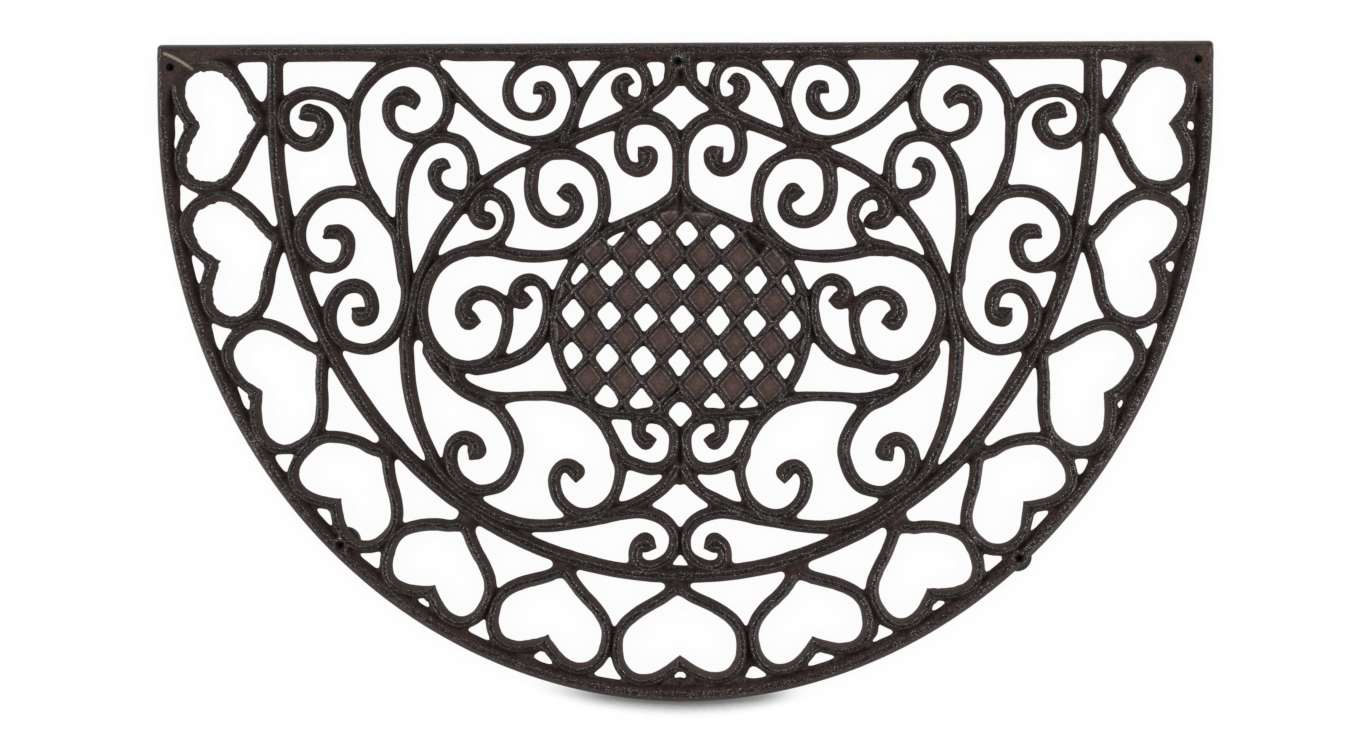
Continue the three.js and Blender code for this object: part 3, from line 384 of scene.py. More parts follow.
class DoorMatStage(bpy.types.PropertyGroup):
    """Floor and light."""

    floor: colour("Floor", "Colour of the floor", (0.96, 0.96, 0.96))
    sky: share("Sky", "Even light from all sides", 0.45, 4.0)
    lamp: share("Lamps", "Power of each of the two lamps beside the mat, in watts", 6.5, 500.0)
    under: share("Shadow under", "How much of the floor's shadow shows under the mat", 0.04)
    front: share("Shadow in front", "How much of it shows in front of the rim", 1.0)


# ---------------------------------------------------------------- shapes as whole arrays


def smooth_run(points, spacing=0.6):
    """A curve through all the points, sampled about `spacing` apart. Each span is the centripetal
    Catmull-Rom cubic: repeated linear blends of four points between knots whose gaps are the square
    roots of the distances between the points. The ends carry on straight."""
    p = np.asarray(points, float)
    p = np.concatenate([[2 * p[0] - p[1]], p, [2 * p[-1] - p[-2]]])
    gaps = np.sqrt(np.maximum(np.linalg.norm(np.diff(p[:, :2], axis=0), axis=1), 1e-6))
    knots = np.concatenate([[0.0], np.cumsum(gaps)])
    spans = len(p) - 3
    count = int(np.ceil((gaps**2).max() / spacing))
    k = [knots[n : n + spans, None, None] for n in range(4)]
    q = [p[n : n + spans, None, :] for n in range(4)]
    t = k[1] + (k[2] - k[1]) * (np.arange(count) / count)[None, :, None]

    def mixed(a, b, i, j):
        return (a * (k[j] - t) + b * (t - k[i])) / (k[j] - k[i])

    a, b, c = mixed(q[0], q[1], 0, 1), mixed(q[1], q[2], 1, 2), mixed(q[2], q[3], 2, 3)
    curve = mixed(mixed(a, b, 0, 2), mixed(b, c, 1, 3), 1, 2)
    return np.concatenate([curve.reshape(-1, p.shape[1]), p[-2:-1]])


def with_widths(points):
    """The same points, each with a half width: its own, or else that of the point before."""
    full = []
    for point in points:
        full.append(point if len(point) == 3 else (*point, full[-1][2]))
    return full


def with_half(line, half):
    """A line of points x and y, all with the same half width."""
    return np.concatenate([line, np.full((len(line), 1), half)], axis=1)


def unit(vectors):
    """The same directions, each of length one."""
    return vectors / np.maximum(np.linalg.norm(vectors, axis=1, keepdims=True), 1e-9)


def summed(places, values, count):
    """Sums of the rows of values that have the same place, for each of `count` places."""
    return np.stack([np.bincount(places, column, count) for column in values.T], axis=1)


def along_and_across(start, end, x, y):
    """How far each point lies along a line from its start, and to the left of it, and its
    length."""
    (x0, y0), (x1, y1) = start, end
    long = math.hypot(x1 - x0, y1 - y0)
    ux, uy = (x1 - x0) / long, (y1 - y0) / long
    return (x - x0) * ux + (y - y0) * uy, (y - y0) * ux - (x - x0) * uy, long


def spaced(points, spacing=0.6):
    """The same polyline with its points `spacing` apart along it."""
    gaps = np.linalg.norm(np.diff(points[:, :2], axis=0), axis=1)
    along = np.concatenate([[0.0], np.cumsum(gaps)])
    at = np.linspace(0, along[-1], max(int(along[-1] / spacing), 2) + 1)
    return np.stack([np.interp(at, along, points[:, k]) for k in range(points.shape[1])], axis=1)


def superellipse(half_width, shoulder, depth, side, front, inset=0.0):
    """Points of a quarter of a superellipse from the side round to the front middle: x is the half
    width times cos(t) to the power 2/n, y is the shoulder less the depth times sin(t) to the power
    2/n, and n goes from `side` to `front`. Each point is then moved inward along the normal by the
    inset."""
    t = np.linspace(0, math.pi / 2, 1200)
    n = side + (front - side) * t / (math.pi / 2)
    x = half_width * np.maximum(np.cos(t), 0) ** (2 / n)
    y = shoulder - depth * np.maximum(np.sin(t), 0) ** (2 / n)
    dx, dy = np.gradient(x), np.gradient(y)
    size = np.hypot(dx, dy)
    return np.stack([x + dy / size * inset, y - dx / size * inset], axis=1)


def lobe_run(heart, side, offset):
    """One lobe of a heart: the inner edge as a smooth curve from the tip to the notch, and a run of
    points moved outward from it along its normal by their own half width, which is the offset all
    along and shrinks to a point over the last stretch, so that the notch comes out sharp."""
    (tip_x, tip_y), axis, notch, lobes = heart
    long, wide, bow = lobes[side]
    sign = 1 if side == 0 else -1
    edge = np.array(LOBE)
    fade = np.minimum(edge[:, 0] / 0.2, 1) ** 2 * np.clip((0.95 - edge[:, 0]) / 0.35, 0, 1)
    u = edge[:, 0] * long - bow * fade
    back = np.array(LOBE_RETURN)
    u = np.concatenate([[0], u, notch + (long - notch) * back[:, 0], [notch]])
    w = np.concatenate([[0], edge[:, 1], back[:, 1], [0]]) * wide * sign
    c, s = math.cos(math.radians(axis)), math.sin(math.radians(axis))
    world = np.stack([tip_x + u * c - w * s, tip_y + u * s + w * c], axis=1)
    fine = spaced(smooth_run(world, 0.3), 0.6)
    left = (len(fine) - 1 - np.arange(len(fine))) * 0.6
    half = np.clip(left, 0.5, offset)[:, None]
    way = unit(np.gradient(fine, axis=0))
    moved = fine + np.stack([-way[:, 1], way[:, 0]], axis=1) * half * sign
    return fine, np.concatenate([moved, half], axis=1)


def beak(points, end):
    """A short cone from the end of a bar to a small point, turned to the side that the bar curls
    to."""
    near, inner, far = np.array(points[:3] if end == 0 else points[:-4:-1], float)
    way, before = near[:2] - inner[:2], inner[:2] - far[:2]
    way, side = way / np.hypot(*way), np.sign(before[0] * way[1] - before[1] * way[0]) or 1.0
    turn = side * math.radians(BEAK_TURN)
    c, s = math.cos(turn), math.sin(turn)
    turned = np.array([way[0] * c - way[1] * s, way[0] * s + way[1] * c])
    tip = near[:2] + (near[2] + BEAK_PAST) * turned
    along = np.linspace(0, 1, 12)[:, None]
    return near * (1 - along) + np.array([*tip, BEAK_TIP]) * along


def ripple(x, y, size, seed):
    """Smooth unevenness from -1 to 1: seeded random values on a square net `size` apart, blended
    with a smooth step in both directions."""
    table = np.random.default_rng(seed).uniform(-1, 1, (61, 61))
    gx, gy = x / size + 30, y / size + 30
    ix, iy = np.floor(gx).astype(int), np.floor(gy).astype(int)
    fx, fy = gx - ix, gy - iy
    fx, fy = fx * fx * (3 - 2 * fx), fy * fy * (3 - 2 * fy)
    low, high = (
        table[row % 61, ix % 61] * (1 - fx) + table[row % 61, (ix + 1) % 61] * fx
        for row in (iy, iy + 1)
    )
    return low * (1 - fy) + high * fy


def soft_max(a, b, reach):
    """The larger of two fields, with a bulge of a quarter of the reach where they are equal."""
    h = np.maximum(reach - np.abs(a - b), 0) / reach
    return np.maximum(a, b) + h * h * reach / 4


def rise(part):
    """Section of a bar: height as a share of the full height, from the part of the way in from the
    edge (0) to the ridge (1). A straight flank that rounds over into the ridge."""
    flank = part / 0.74
    h = np.maximum(0.55 - np.abs(flank - 1), 0)
    return np.minimum(flank, 1) - h * h / (4 * 0.55)


def step(low, high, value):
    """Smooth step from 0 to 1 between two values."""
    t = np.clip((value - low) / (high - low), 0, 1)
    return t * t * (3 - 2 * t)


def inside_outline(outline, x, y):
    """Distance of each point inside a closed outline, negative outside: the nearest of the
    distances to all its edges, with its sign from how many edges lie to the right of the point."""
    p = np.asarray(outline, float)[:, None, None]
    q = np.roll(p, -1, axis=0)
    edge = q - p
    px, py = x[None] - p[..., 0], y[None] - p[..., 1]
    along = np.clip(
        (px * edge[..., 0] + py * edge[..., 1]) / np.maximum((edge**2).sum(-1), 1e-9), 0, 1
    )
    near = np.hypot(px - along * edge[..., 0], py - along * edge[..., 1]).min(axis=0)
    crosses = (p[..., 1] > y[None]) != (q[..., 1] > y[None])
    slope = edge[..., 0] / np.where(edge[..., 1] == 0, 1e-9, edge[..., 1])
    right = x[None] < p[..., 0] + (y[None] - p[..., 1]) * slope
    return np.where((crosses & right).sum(axis=0) % 2 == 1, near, -near)


class Field:
    """The casting seen from above on a square grid: `inside` is the distance inside its outline and
    `height` the height over its upright edge, both in millimetres."""

    def __init__(self, sizes):
        mm = {name: getattr(sizes, name) / MM for name in sizes.__annotations__}
        self.mm = mm
        self.pitch = mm["grid"]
        self.half_width, self.half_depth = mm["width"] / 2, mm["depth"] / 2
        halves = (self.half_width, self.half_depth)
        self.nx, self.ny = (2 * int(math.ceil((half + 3) / self.pitch)) + 1 for half in halves)
        lines = ((np.arange(n) - n // 2) * self.pitch for n in (self.nx, self.ny))
        self.x, self.y = np.meshgrid(*lines)
        self.inside, self.height = np.full(self.x.shape, OUTSIDE), np.full(self.x.shape, OUTSIDE)
        self.full = mm["thickness"] - mm["edge"]

    def to_x(self, x):
        """The mat's own x for a drawn x."""
        return np.asarray(x, float) * (2 * self.half_width / DRAWN_WIDTH)

    def to_y(self, y):
        """The mat's own y for a drawn y."""
        return (np.asarray(y, float) - DRAWN_MIDDLE) * (2 * self.half_depth / DRAWN_DEPTH)

    def placed(self, points):
        """Drawn points moved to the mat's own size."""
        p = np.array(points, float)
        p[:, 0], p[:, 1] = self.to_x(p[:, 0]), self.to_y(p[:, 1])
        return p

    def bell(self, x, y, reach):
        """A bell curve over the grid about a drawn place, one there and fading with distance."""
        away = (self.x - self.to_x(x)) ** 2 + (self.y - self.to_y(y)) ** 2
        return np.exp(-away / (2 * reach**2))

    def window(self, points, margin):
        """The part of the grid that covers some points and a margin round them."""
        low, high = np.min(points, axis=0)[:2] - margin, np.max(points, axis=0)[:2] + margin
        return tuple(
            slice(
                max(int(low[k] / self.pitch + n // 2) - 1, 0),
                min(int(high[k] / self.pitch + n // 2) + 3, n),
            ) for k, n in ((1, self.ny), (0, self.nx))
        )

    def lay(self, window, inside, height, reach=None):
        """Blends another body of iron into a part of the grid."""
        self.inside[window] = soft_max(self.inside[window], inside, reach or self.mm["fillet"])
        self.height[window] = soft_max(self.height[window], height, GROOVE_REACH)

    def bar(self, run, top=1.0, reach=None):
        """A bar along a run of points x, y and half width. At each grid point near it, `inside` is
        the largest of half width less distance, and the height is the section at the largest of one
        less distance over half width, over all the points of the run."""
        margin = 5.0 + run[:, 2].max()
        window = self.window(run, margin)
        x, y = self.x[window], self.y[window]
        inside, part = np.full(x.shape, OUTSIDE), np.full(x.shape, -2.0)
        cells = int(math.ceil(margin / self.pitch))
        offsets = np.arange(-cells, cells + 1)
        nearest = np.rint((run[:, :2] - (x[0, 0], y[0, 0])) / self.pitch).astype(int)
        i, j = nearest.T[..., None, None]
        i, j = np.broadcast_arrays(i + offsets, j + offsets[:, None])
        on = (i >= 0) & (i < x.shape[1]) & (j >= 0) & (j < x.shape[0])
        away = np.hypot(
            x[0, 0] + i * self.pitch - run[:, 0, None, None],
            y[0, 0] + j * self.pitch - run[:, 1, None, None],
        )
        half = np.broadcast_to(run[:, 2, None, None], away.shape)
        flat = (j * x.shape[1] + i)[on]
        np.maximum.at(inside.reshape(-1), flat, (half - away)[on])
        np.maximum.at(part.reshape(-1), flat, (1 - away / half)[on])
        self.lay(window, inside, rise(part) * self.full * top, reach)
        return window, inside

    def slab(self, outline, half, top=1.0):
        """A web inside an outline, which reaches its full height `half` in from its edge."""
        p = np.asarray(outline, float)
        window = self.window(p, 6)
        inside = inside_outline(p, self.x[window], self.y[window])
        self.lay(window, inside, rise(np.minimum(inside / half, 1)) * self.full * top)
        return window, inside


def rim_line(field):
    """Centreline of the rim's right half, from the back bar round to the front middle."""
    half, shoulder = field.mm["rim"] / 2, float(field.to_y(RIM_SHOULDER))
    curve = superellipse(
        field.half_width, shoulder, shoulder + field.half_depth, *RIM_EXPONENTS, inset=half
    )
    back = [[field.half_width - half, field.half_depth - half - CORNER_RADIUS]]
    return spaced(np.concatenate([back, curve]))


def arc_line(field):
    """Centreline of the inner arc's right half, from the back bar round to the front middle."""
    span = float(field.to_x(ARC_HALF_SPAN))
    shoulder, front = (float(field.to_y(y)) for y in (ARC_SHOULDER, ARC_FRONT))
    curve = superellipse(span, shoulder, shoulder - front, ARC_EXPONENT, ARC_EXPONENT)
    back = [[span, field.half_depth - field.mm["back_bar"] / 2]]
    return spaced(np.concatenate([back, curve]))


def medallion_ring(field):
    """Centreline of the ring on the right: an ellipse about the medallion's middle."""
    t = np.radians(np.arange(48, -51, -7))
    across, up = MEDALLION_HALVES
    points = np.stack([across * np.cos(t), MEDALLION_Y + up * np.sin(t)], axis=1)
    return field.placed(with_half(points, field.mm["ring"] / 2))


def set_aside(field, values):
    """The same values moved with the bars that lie aside: each grid point takes the value, by
    bilinear blend, from where it would have been."""
    px, py = field.x, field.y
    for x, y, reach, over, up in SET_ASIDE:
        bell = field.bell(x, y, reach)
        px, py = px - over * bell, py - up * bell
    i = np.clip(px / field.pitch + field.nx // 2, 0, field.nx - 1.001)
    j = np.clip(py / field.pitch + field.ny // 2, 0, field.ny - 1.001)
    i0, j0 = i.astype(int), j.astype(int)
    i, j = i - i0, j - j0
    low = values[j0, i0] * (1 - i) + values[j0, i0 + 1] * i
    high = values[j0 + 1, i0] * (1 - i) + values[j0 + 1, i0 + 1] * i
    return low * (1 - j) + high * j


def foot_place(field, node):
    """Middle of a foot's hole."""
    x, y = FOOT_PLACES[node]
    return float(field.to_x(x)), float(field.to_y(y))


def lay_lattice(field):
    """The medallion's lattice. In coordinates that count the bars of each direction, a bar lies at
    every half, so the distance to it is the distance to the nearest half times the bars' spacing.
    Cells whose two numbers add to an odd number are closed by a thin plate, which swells a little
    to its middle. Gives a mask of the plates."""
    window = field.window([(-95, field.to_y(-36)), (95, field.to_y(115))], 0)
    x, y = field.x[window], field.y[window]
    dx = x * DRAWN_WIDTH / (2 * field.half_width)
    dy = y * DRAWN_DEPTH / (2 * field.half_depth) + DRAWN_MIDDLE
    (pitch_x, pitch_y), (start_x, start_y) = LATTICE_PITCH, LATTICE_START
    turn = math.radians(LATTICE_TURN)
    over = dx - start_x + 0.45 * ripple(dx, dy, 21, 5)
    up = dy - start_y + 0.45 * ripple(dx, dy, 21, 6)
    u = over * math.cos(turn) + up * math.sin(turn)
    v = -over * math.sin(turn) + up * math.cos(turn)
    a, b = u / pitch_x + v / pitch_y, u / pitch_x - v / pitch_y
    spacing = 1 / math.hypot(1 / pitch_x, 1 / pitch_y)
    to_a, to_b = (np.abs(n - (np.rint(n - 0.5) + 0.5)) * spacing for n in (a, b))
    half = field.mm["lattice_bar"] / 2
    inside = soft_max(half - to_a, half - to_b, 3.0) + 0.5 * ripple(x, y, 9, 7) - 0.1
    wide_x, wide_y = WIDE_CELL
    inside = inside - 2.2 * np.exp(-((dx - wide_x) ** 2 + (dy - wide_y) ** 2) / 80)
    height = soft_max(rise(1 - to_a / half), rise(1 - to_b / half), 0.12) * (field.full - 0.6)
    closed = (np.rint(a) + np.rint(b)) % 2 == 1
    middle = np.minimum(to_a, to_b)
    plate = field.mm["plate"] - field.mm["edge"] + 0.9 * step(3, 8.5, middle)
    plate = plate + 0.35 * ripple(x, y, 7, 8)
    height = np.where(closed, soft_max(height, plate, 2.6), height)
    inside = np.where(closed, np.maximum(inside, middle + 1), inside)
    # the lattice ends at the ring, at the sill and over the sill's arch
    across, tall = MEDALLION_HALVES
    round_edge = 1 - np.hypot(dx / across, (dy - MEDALLION_Y) / tall)
    arch = np.array([point[:2] for point in BARS["medallion_sill"][-4:]])[::-1]
    under_arch = np.interp(np.abs(dx), arch[:, 0], arch[:, 1])
    field_edge = np.minimum(np.minimum(round_edge * 80, dy - SILL_Y), dy - under_arch)
    height = np.where(field_edge > -2, height, OUTSIDE)
    field.lay(window, np.minimum(inside, field_edge), height, 2.6)
    plates = np.zeros(field.x.shape)
    plates[window] = closed * step(2.0, 3.8, middle) * step(0, 4, field_edge)
    return plates


def lay_hearts(field, hearts, flash, ragged, inner):
    """Hearts of the right half, each one run of both its lobes and a knot behind the notch, and a
    low swelling where its tip joins the arc. Marks how far each grid point lies inside a heart, and
    the same times the heart's flash, on both halves."""
    half = field.mm["heart_bar"] / 2
    for heart, (left, right) in zip(hearts, flash):
        rims, runs = zip(*(lobe_run(heart, side, half) for side in (0, 1)))
        tip, axis, notch, _ = heart
        way = np.array([math.cos(math.radians(axis)), math.sin(math.radians(axis))])
        knot = np.array(tip) + way * (notch + 1.75 * half)
        swelling = np.array(tip) - way * 9
        field.bar(field.placed(np.concatenate([*runs, [[*knot, 1.05 * half]]])), reach=3.4)
        field.bar(field.placed([[*swelling, 8.0]]), top=0.5)
        outline = field.placed(np.concatenate([rims[0], rims[1][::-1]])[::6])
        window = field.window(outline, 2)
        within = step(-3.5, -0.5, inside_outline(outline, field.x[window], field.y[window]))
        mirrored = (window[0], slice(field.nx - window[1].stop, field.nx - window[1].start))
        for place, marks, flashed in ((window, within, right), (mirrored, within[:, ::-1], left)):
            ragged[place] = np.maximum(ragged[place], marks * flashed)
            inner[place] = np.maximum(inner[place], marks)


def blurred(values, cells):
    """Running average over a square of cells, twice: sums of rows and columns less what left
    them."""
    for axis in (0, 1, 0, 1):
        wide = np.pad(values, [(cells + 1, cells) if k == axis else (0, 0) for k in (0, 1)], "edge")
        total = np.cumsum(wide, axis=axis)
        low = np.arange(values.shape[axis])
        ends = [np.take(total, low + shift, axis=axis) for shift in (2 * cells + 1, 0)]
        values = (ends[0] - ends[1]) / (2 * cells + 1)
    return values


def casting_field(sizes):
    """The whole casting's outline and height, and its masks for the finish."""
    field = Field(sizes)
    mm = field.mm
    for name, points in BARS.items():
        points = with_widths(points)
        ends = [field.placed(beak(points, end)) for end in BEAKS.get(name, ())]
        field.bar(np.concatenate([smooth_run(field.placed(points)), *ends]))
    field.bar(smooth_run(medallion_ring(field)))
    field.bar(with_half(arc_line(field), mm["arc"] / 2))
    ragged, inner, flat, dark = np.zeros((4, *field.x.shape))
    lay_hearts(field, HEARTS[:-1], HEART_FLASH[:-1], ragged, inner)
    for name, outline in WEBS.items():
        corner = name == "corner_web"
        half, top = (3, 0.96) if corner else (5, 0.8)
        window, inside = field.slab(field.placed(outline), half, top)
        if corner:
            flat[window] = step(-2, 3, inside)
    rim = rim_line(field)
    w, d, b = field.half_width, field.half_depth, mm["back_bar"]
    back = [(-40, d - b), (w, d - b), (w, d - 2.5), (w - 0.8, d - 0.8), (w - 2.5, d), (-40, d)]
    outermost = [field.bar(with_half(rim, mm["rim"] / 2)), field.slab(back, b / 2)]
    field.lay(np.s_[:, :], field.inside[:, ::-1], field.height[:, ::-1])
    lay_hearts(field, HEARTS[-1:], HEART_FLASH[-1:], ragged, inner)
    field.inside, field.height = set_aside(field, field.inside), set_aside(field, field.height)

    # outside the rim's own centreline nothing but the rim and the back bar shapes the edge
    edge = np.full(field.x.shape, OUTSIDE)
    for window, inside in outermost:
        edge[window] = np.maximum(edge[window], inside)
    edge = np.maximum(edge, edge[:, ::-1])
    line_y = np.interp(np.abs(field.x), rim[::-1, 0], rim[::-1, 1])
    outer = (field.y < line_y) & (field.y < field.to_y(RIM_SHOULDER))
    outer |= (np.abs(field.x) > w - mm["rim"] / 2) | (field.y > d - b / 2)
    field.inside = np.where(outer, edge, field.inside)
    plates = lay_lattice(field)

    # hand-made unevenness, and flash left in the hearts
    x, y = field.x, field.y
    uneven = 0.22 * ripple(x, y, 16, 1) + 0.07 * ripple(x, y, 5, 2)
    field.inside += np.where(outer, 0.25, 1.0) * uneven
    teeth = 0.6 * ripple(x, y, 3.4, 3) + 0.4 * ripple(x, y, 1.9, 4)
    field.inside += ragged * (0.25 + teeth)
    for cx, cy, reach, more in HAND_WORK:
        field.inside += np.where(outer, 0, more) * field.bell(cx, cy, reach)
    lift = 0.22 * ripple(x, y, 26, 9) + 0.12 * ripple(x, y, 7, 10)
    field.height = field.height + lift * np.clip(field.height / field.full, 0, 1)

    # flat seats round the foot holes, and the holes
    for node in FOOT_PLACES:
        cx, cy = foot_place(field, node)
        window = field.window([(cx, cy)], 12)
        away = np.hypot(x[window] - cx, y[window] - cy)
        seat = 0.92 * field.full - field.height[window]
        field.height[window] += seat * step(7, 4.5, away) * 0.8
        field.inside[window] = np.minimum(field.inside[window], away - mm["hole"] / 2)
        # painted shade: a dark ring at the edge of each hole, which the finish paints nearly black
        dark[window] = step(0.8, 0.2, away - mm["hole"] / 2)
    field.height = np.minimum(field.height, field.full)
    high = np.clip(field.height, 0, None)

    # masks: place across the bars, painted shade in the grooves and round the foot holes, a painted
    # highlight on the outer edges, a scratch, and which way the bars run
    part = high / field.full
    part = part - np.maximum(flat, flat[:, ::-1]) * np.maximum(part - 0.64, 0)
    # painted shade: points lower than their surroundings, in the grooves between bars, are darkened
    # in the finish
    sunk = blurred(np.where(field.inside > 0, high, 0.0), 3)
    hollow = np.clip((sunk - high) / 2.6, 0, 1) * (field.inside > 1.2)
    hollow = np.maximum(hollow * (1 - 0.7 * plates), dark)
    # painted highlight: a greyish strip along the back bar's outer edge and the rim's far left
    # edge, where the chamfer catches the light
    bare = step(2.0, 0.9, edge) * step(d - 7, d - 4, y)
    bare = np.maximum(bare, 0.45 * step(1.9, 0.7, edge) * outer * (edge > -1) * (x < -w * 0.75))
    along, across, long = along_and_across((-w + 7.5, d - 7.5), (-w + 25.5, d - 17.5), x, y)
    bowed = across - 0.8 * np.sin(np.clip(along / long, 0, 1) * math.pi)
    scratch = step(1.1, 0.4, np.hypot(bowed, np.maximum(np.abs(along - long / 2) - long / 2, 0)))
    up, across = (blurred(g * g, 4) for g in np.gradient(high))
    field.masks = {
        "part": part, "hollow": hollow, "plate": plates, "bare": bare, "scratch": scratch,
        "lengthwise": step(0.15, 0.85, across / (across + up + 1e-6)), "inner": inner,
        "border": step(0, 1.5, edge),
    }
    return field


# ---------------------------------------------------------------- from the field to closed pieces

# Corners 0 to 3 and edges 4 to 7 of a grid cell, anticlockwise from its low corner: the part of the
# cell inside the outline, for each pattern of corners that lie inside
CELL_PARTS = {
    1: [(0, 4, 7)], 2: [(1, 5, 4)], 3: [(0, 1, 5, 7)], 4: [(2, 6, 5)], 5: [(0, 4, 7), (2, 6, 5)],
    6: [(1, 2, 6, 4)], 7: [(0, 1, 2, 6, 7)], 8: [(3, 7, 6)], 9: [(0, 4, 6, 3)],
    10: [(1, 5, 4), (3, 7, 6)], 11: [(0, 1, 5, 6, 3)], 12: [(2, 3, 7, 5)], 13: [(0, 4, 5, 2, 3)],
    14: [(1, 2, 3, 7, 4)], 15: [(0, 1, 2, 3)],
}


def top_surface(field):
    """Points and triangles of the casting's top. Grid points inside the outline are kept, a point
    is put where the outline crosses an edge of the grid, found by linear blend, and each cell is
    filled by its pattern of inside corners. Normals are the average of the triangles round each
    point, smoothed twice over its neighbours."""
    kept = field.inside > 0
    grids = {**field.masks, "x": field.x, "y": field.y, "height": field.height}
    count = int(kept.sum())
    ids = np.full(kept.shape, -1)
    ids[kept] = np.arange(count)
    values = {name: [g[kept]] for name, g in grids.items()}
    edge_ids = []
    for a, b in ((np.s_[:, :-1], np.s_[:, 1:]), (np.s_[:-1], np.s_[1:])):
        crossed = kept[a] != kept[b]
        number = np.full(crossed.shape, -1)
        number[crossed] = count + np.arange(int(crossed.sum()))
        count += int(crossed.sum())
        first, second = field.inside[a][crossed], field.inside[b][crossed]
        f = np.clip(first / (first - second), 0.04, 0.96)
        for name, g in grids.items():
            values[name].append(g[a][crossed] * (1 - f) + g[b][crossed] * f)
        edge_ids.append(number)
    values = {name: np.concatenate(parts) for name, parts in values.items()}
    across, up = edge_ids
    cells = np.stack([
        ids[:-1, :-1], ids[:-1, 1:], ids[1:, 1:], ids[1:, :-1],
        across[:-1], up[:, 1:], across[1:], up[:, :-1],
    ], axis=-1)
    code = kept[:-1, :-1] * 1 + kept[:-1, 1:] * 2 + kept[1:, 1:] * 4 + kept[1:, :-1] * 8
    faces = np.concatenate([
        cells[code == pattern][:, [polygon[0], polygon[k], polygon[k + 1]]]
        for pattern, polygons in CELL_PARTS.items()
        for polygon in polygons
        for k in range(1, len(polygon) - 1)
    ])
    z = field.mm["clearance"] + field.mm["edge"] + np.maximum(values["height"], 0)
    points = np.stack([values["x"], values["y"], z], axis=1)
    corners = points[faces]
    normal = np.cross(corners[:, 1] - corners[:, 0], corners[:, 2] - corners[:, 0])
    start, end = faces.ravel(), np.roll(faces, -1, axis=1).ravel()
    normals = unit(summed(start, np.repeat(normal, 3, axis=0), count))
    for _ in range(2):
        normals = unit(normals * 3 + summed(start, normals[end], count))
    return points, faces, normals, {name: np.clip(values[name], 0, 1) for name in field.masks}


def closed_piece(name, points, faces, normals, masks, base):
    """A closed piece from a part of the top: its faces, the same faces turned over on the flat
    underside, and an upright wall from every edge of the part that has no neighbour down to the
    underside."""
    used, faces = np.unique(faces, return_inverse=True)
    faces = faces.reshape(-1, 3)
    n = len(used)
    top, up = points[used], normals[used]
    low = top.copy()
    low[:, 2] = base
    start, end = faces.ravel(), np.roll(faces, -1, axis=1).ravel()
    alone = ~np.isin(start * n + end, end * n + start)
    a, b = start[alone], end[alone]
    walls = np.concatenate([np.stack([a, a + n, b + n], axis=1), np.stack([a, b + n, b], axis=1)])
    out = np.stack([top[b, 1] - top[a, 1], top[a, 0] - top[b, 0], np.zeros(len(a))], axis=1)
    side = unit(summed(a, out, n) + summed(b, out, n))
    under = np.tile([0.0, 0.0, -1.0], (faces.size, 1))
    piece = mesh_object(
        name, np.concatenate([top, low]) * MM, np.concatenate([faces, faces[:, ::-1] + n, walls]),
        np.concatenate([up[start], under, np.concatenate([side, side])[walls.ravel()]]),
    )
    for mask, values in masks.items():
        layer = piece.data.attributes.new(mask, "FLOAT", "POINT")
        both = np.concatenate([values[used], np.zeros(n)])
        layer.data.foreach_set("value", both.astype(np.float32))
    return piece


def linked(name, data):
    """An object with this data, in the scene."""
    made = bpy.data.objects.new(name, data)
    bpy.context.scene.collection.objects.link(made)
    return made


def mesh_object(name, points, triangles, loop_normals=None):
    """A mesh object from whole arrays of points and triangles, shaded smooth."""
    mesh = bpy.data.meshes.new(name)
    mesh.vertices.add(len(points))
    mesh.vertices.foreach_set("co", np.asarray(points, np.float32).ravel())
    mesh.loops.add(triangles.size)
    mesh.loops.foreach_set("vertex_index", triangles.ravel().astype(np.int32))
    mesh.polygons.add(len(triangles))
    mesh.polygons.foreach_set("loop_start", np.arange(0, triangles.size, 3, dtype=np.int32))
    mesh.polygons.foreach_set("use_smooth", np.ones(len(triangles), bool))
    mesh.update(calc_edges=True)
    if loop_normals is not None:
        mesh.normals_split_custom_set(loop_normals.astype(np.float32))
    return linked(name, mesh)


def turned_piece(name, profile, turns=72):
    """A closed turned piece: a profile of radius and height carried round an upright axis, which
    stands at its own x and y for each point of the profile. The first and last points lie on the
    axis and become one point each."""
    r, z, x, y = np.asarray(profile, float).T
    angle = np.arange(turns) * 2 * math.pi / turns
    across, up = r[1:-1, None] * np.cos(angle), r[1:-1, None] * np.sin(angle)
    level = np.repeat(z[1:-1, None], turns, axis=1)
    rings = np.stack([x[1:-1, None] + across, y[1:-1, None] + up, level], axis=-1).reshape(-1, 3)
    poles = np.array([[x[0], y[0], z[0]], [x[-1], y[-1], z[-1]]])
    k, n = np.arange(turns), np.roll(np.arange(turns), -1)
    last = (len(r) - 3) * turns
    row = np.arange(0, last, turns)[:, None]
    quads = np.stack([row + k, row + n, row + n + turns, row + k + turns], axis=-1).reshape(-1, 4)
    caps = [
        np.stack([n, k, np.full(turns, len(rings))], axis=1),
        np.stack([last + k, last + n, np.full(turns, len(rings) + 1)], axis=1),
    ]
    triangles = np.concatenate([quads[:, [0, 1, 2]], quads[:, [0, 2, 3]], *caps])
    return mesh_object(name, np.concatenate([rings, poles]) * MM, triangles)


# ---------------------------------------------------------------- finishes


class Value:
    """What one output of a shader node gives. Arithmetic with it adds Math nodes to its tree."""

    def __init__(self, socket):
        self.socket, self.tree = socket, socket.id_data

    def __add__(self, other):
        return maths("ADD", self, other)

    def __sub__(self, other):
        return maths("SUBTRACT", self, other)

    def __rsub__(self, other):
        return maths("SUBTRACT", other, self)

    def __mul__(self, other):
        return maths("MULTIPLY", self, other)

    def spread(self, low, high, to_low=0.0, to_high=1.0):
        """This stretched from one range to another and held inside it, with a smooth step."""
        return Node(self.tree, "ShaderNodeMapRange", {
            "Value": self, "From Min": low, "From Max": high, "To Min": to_low, "To Max": to_high,
        }, interpolation_type="SMOOTHSTEP")[0]


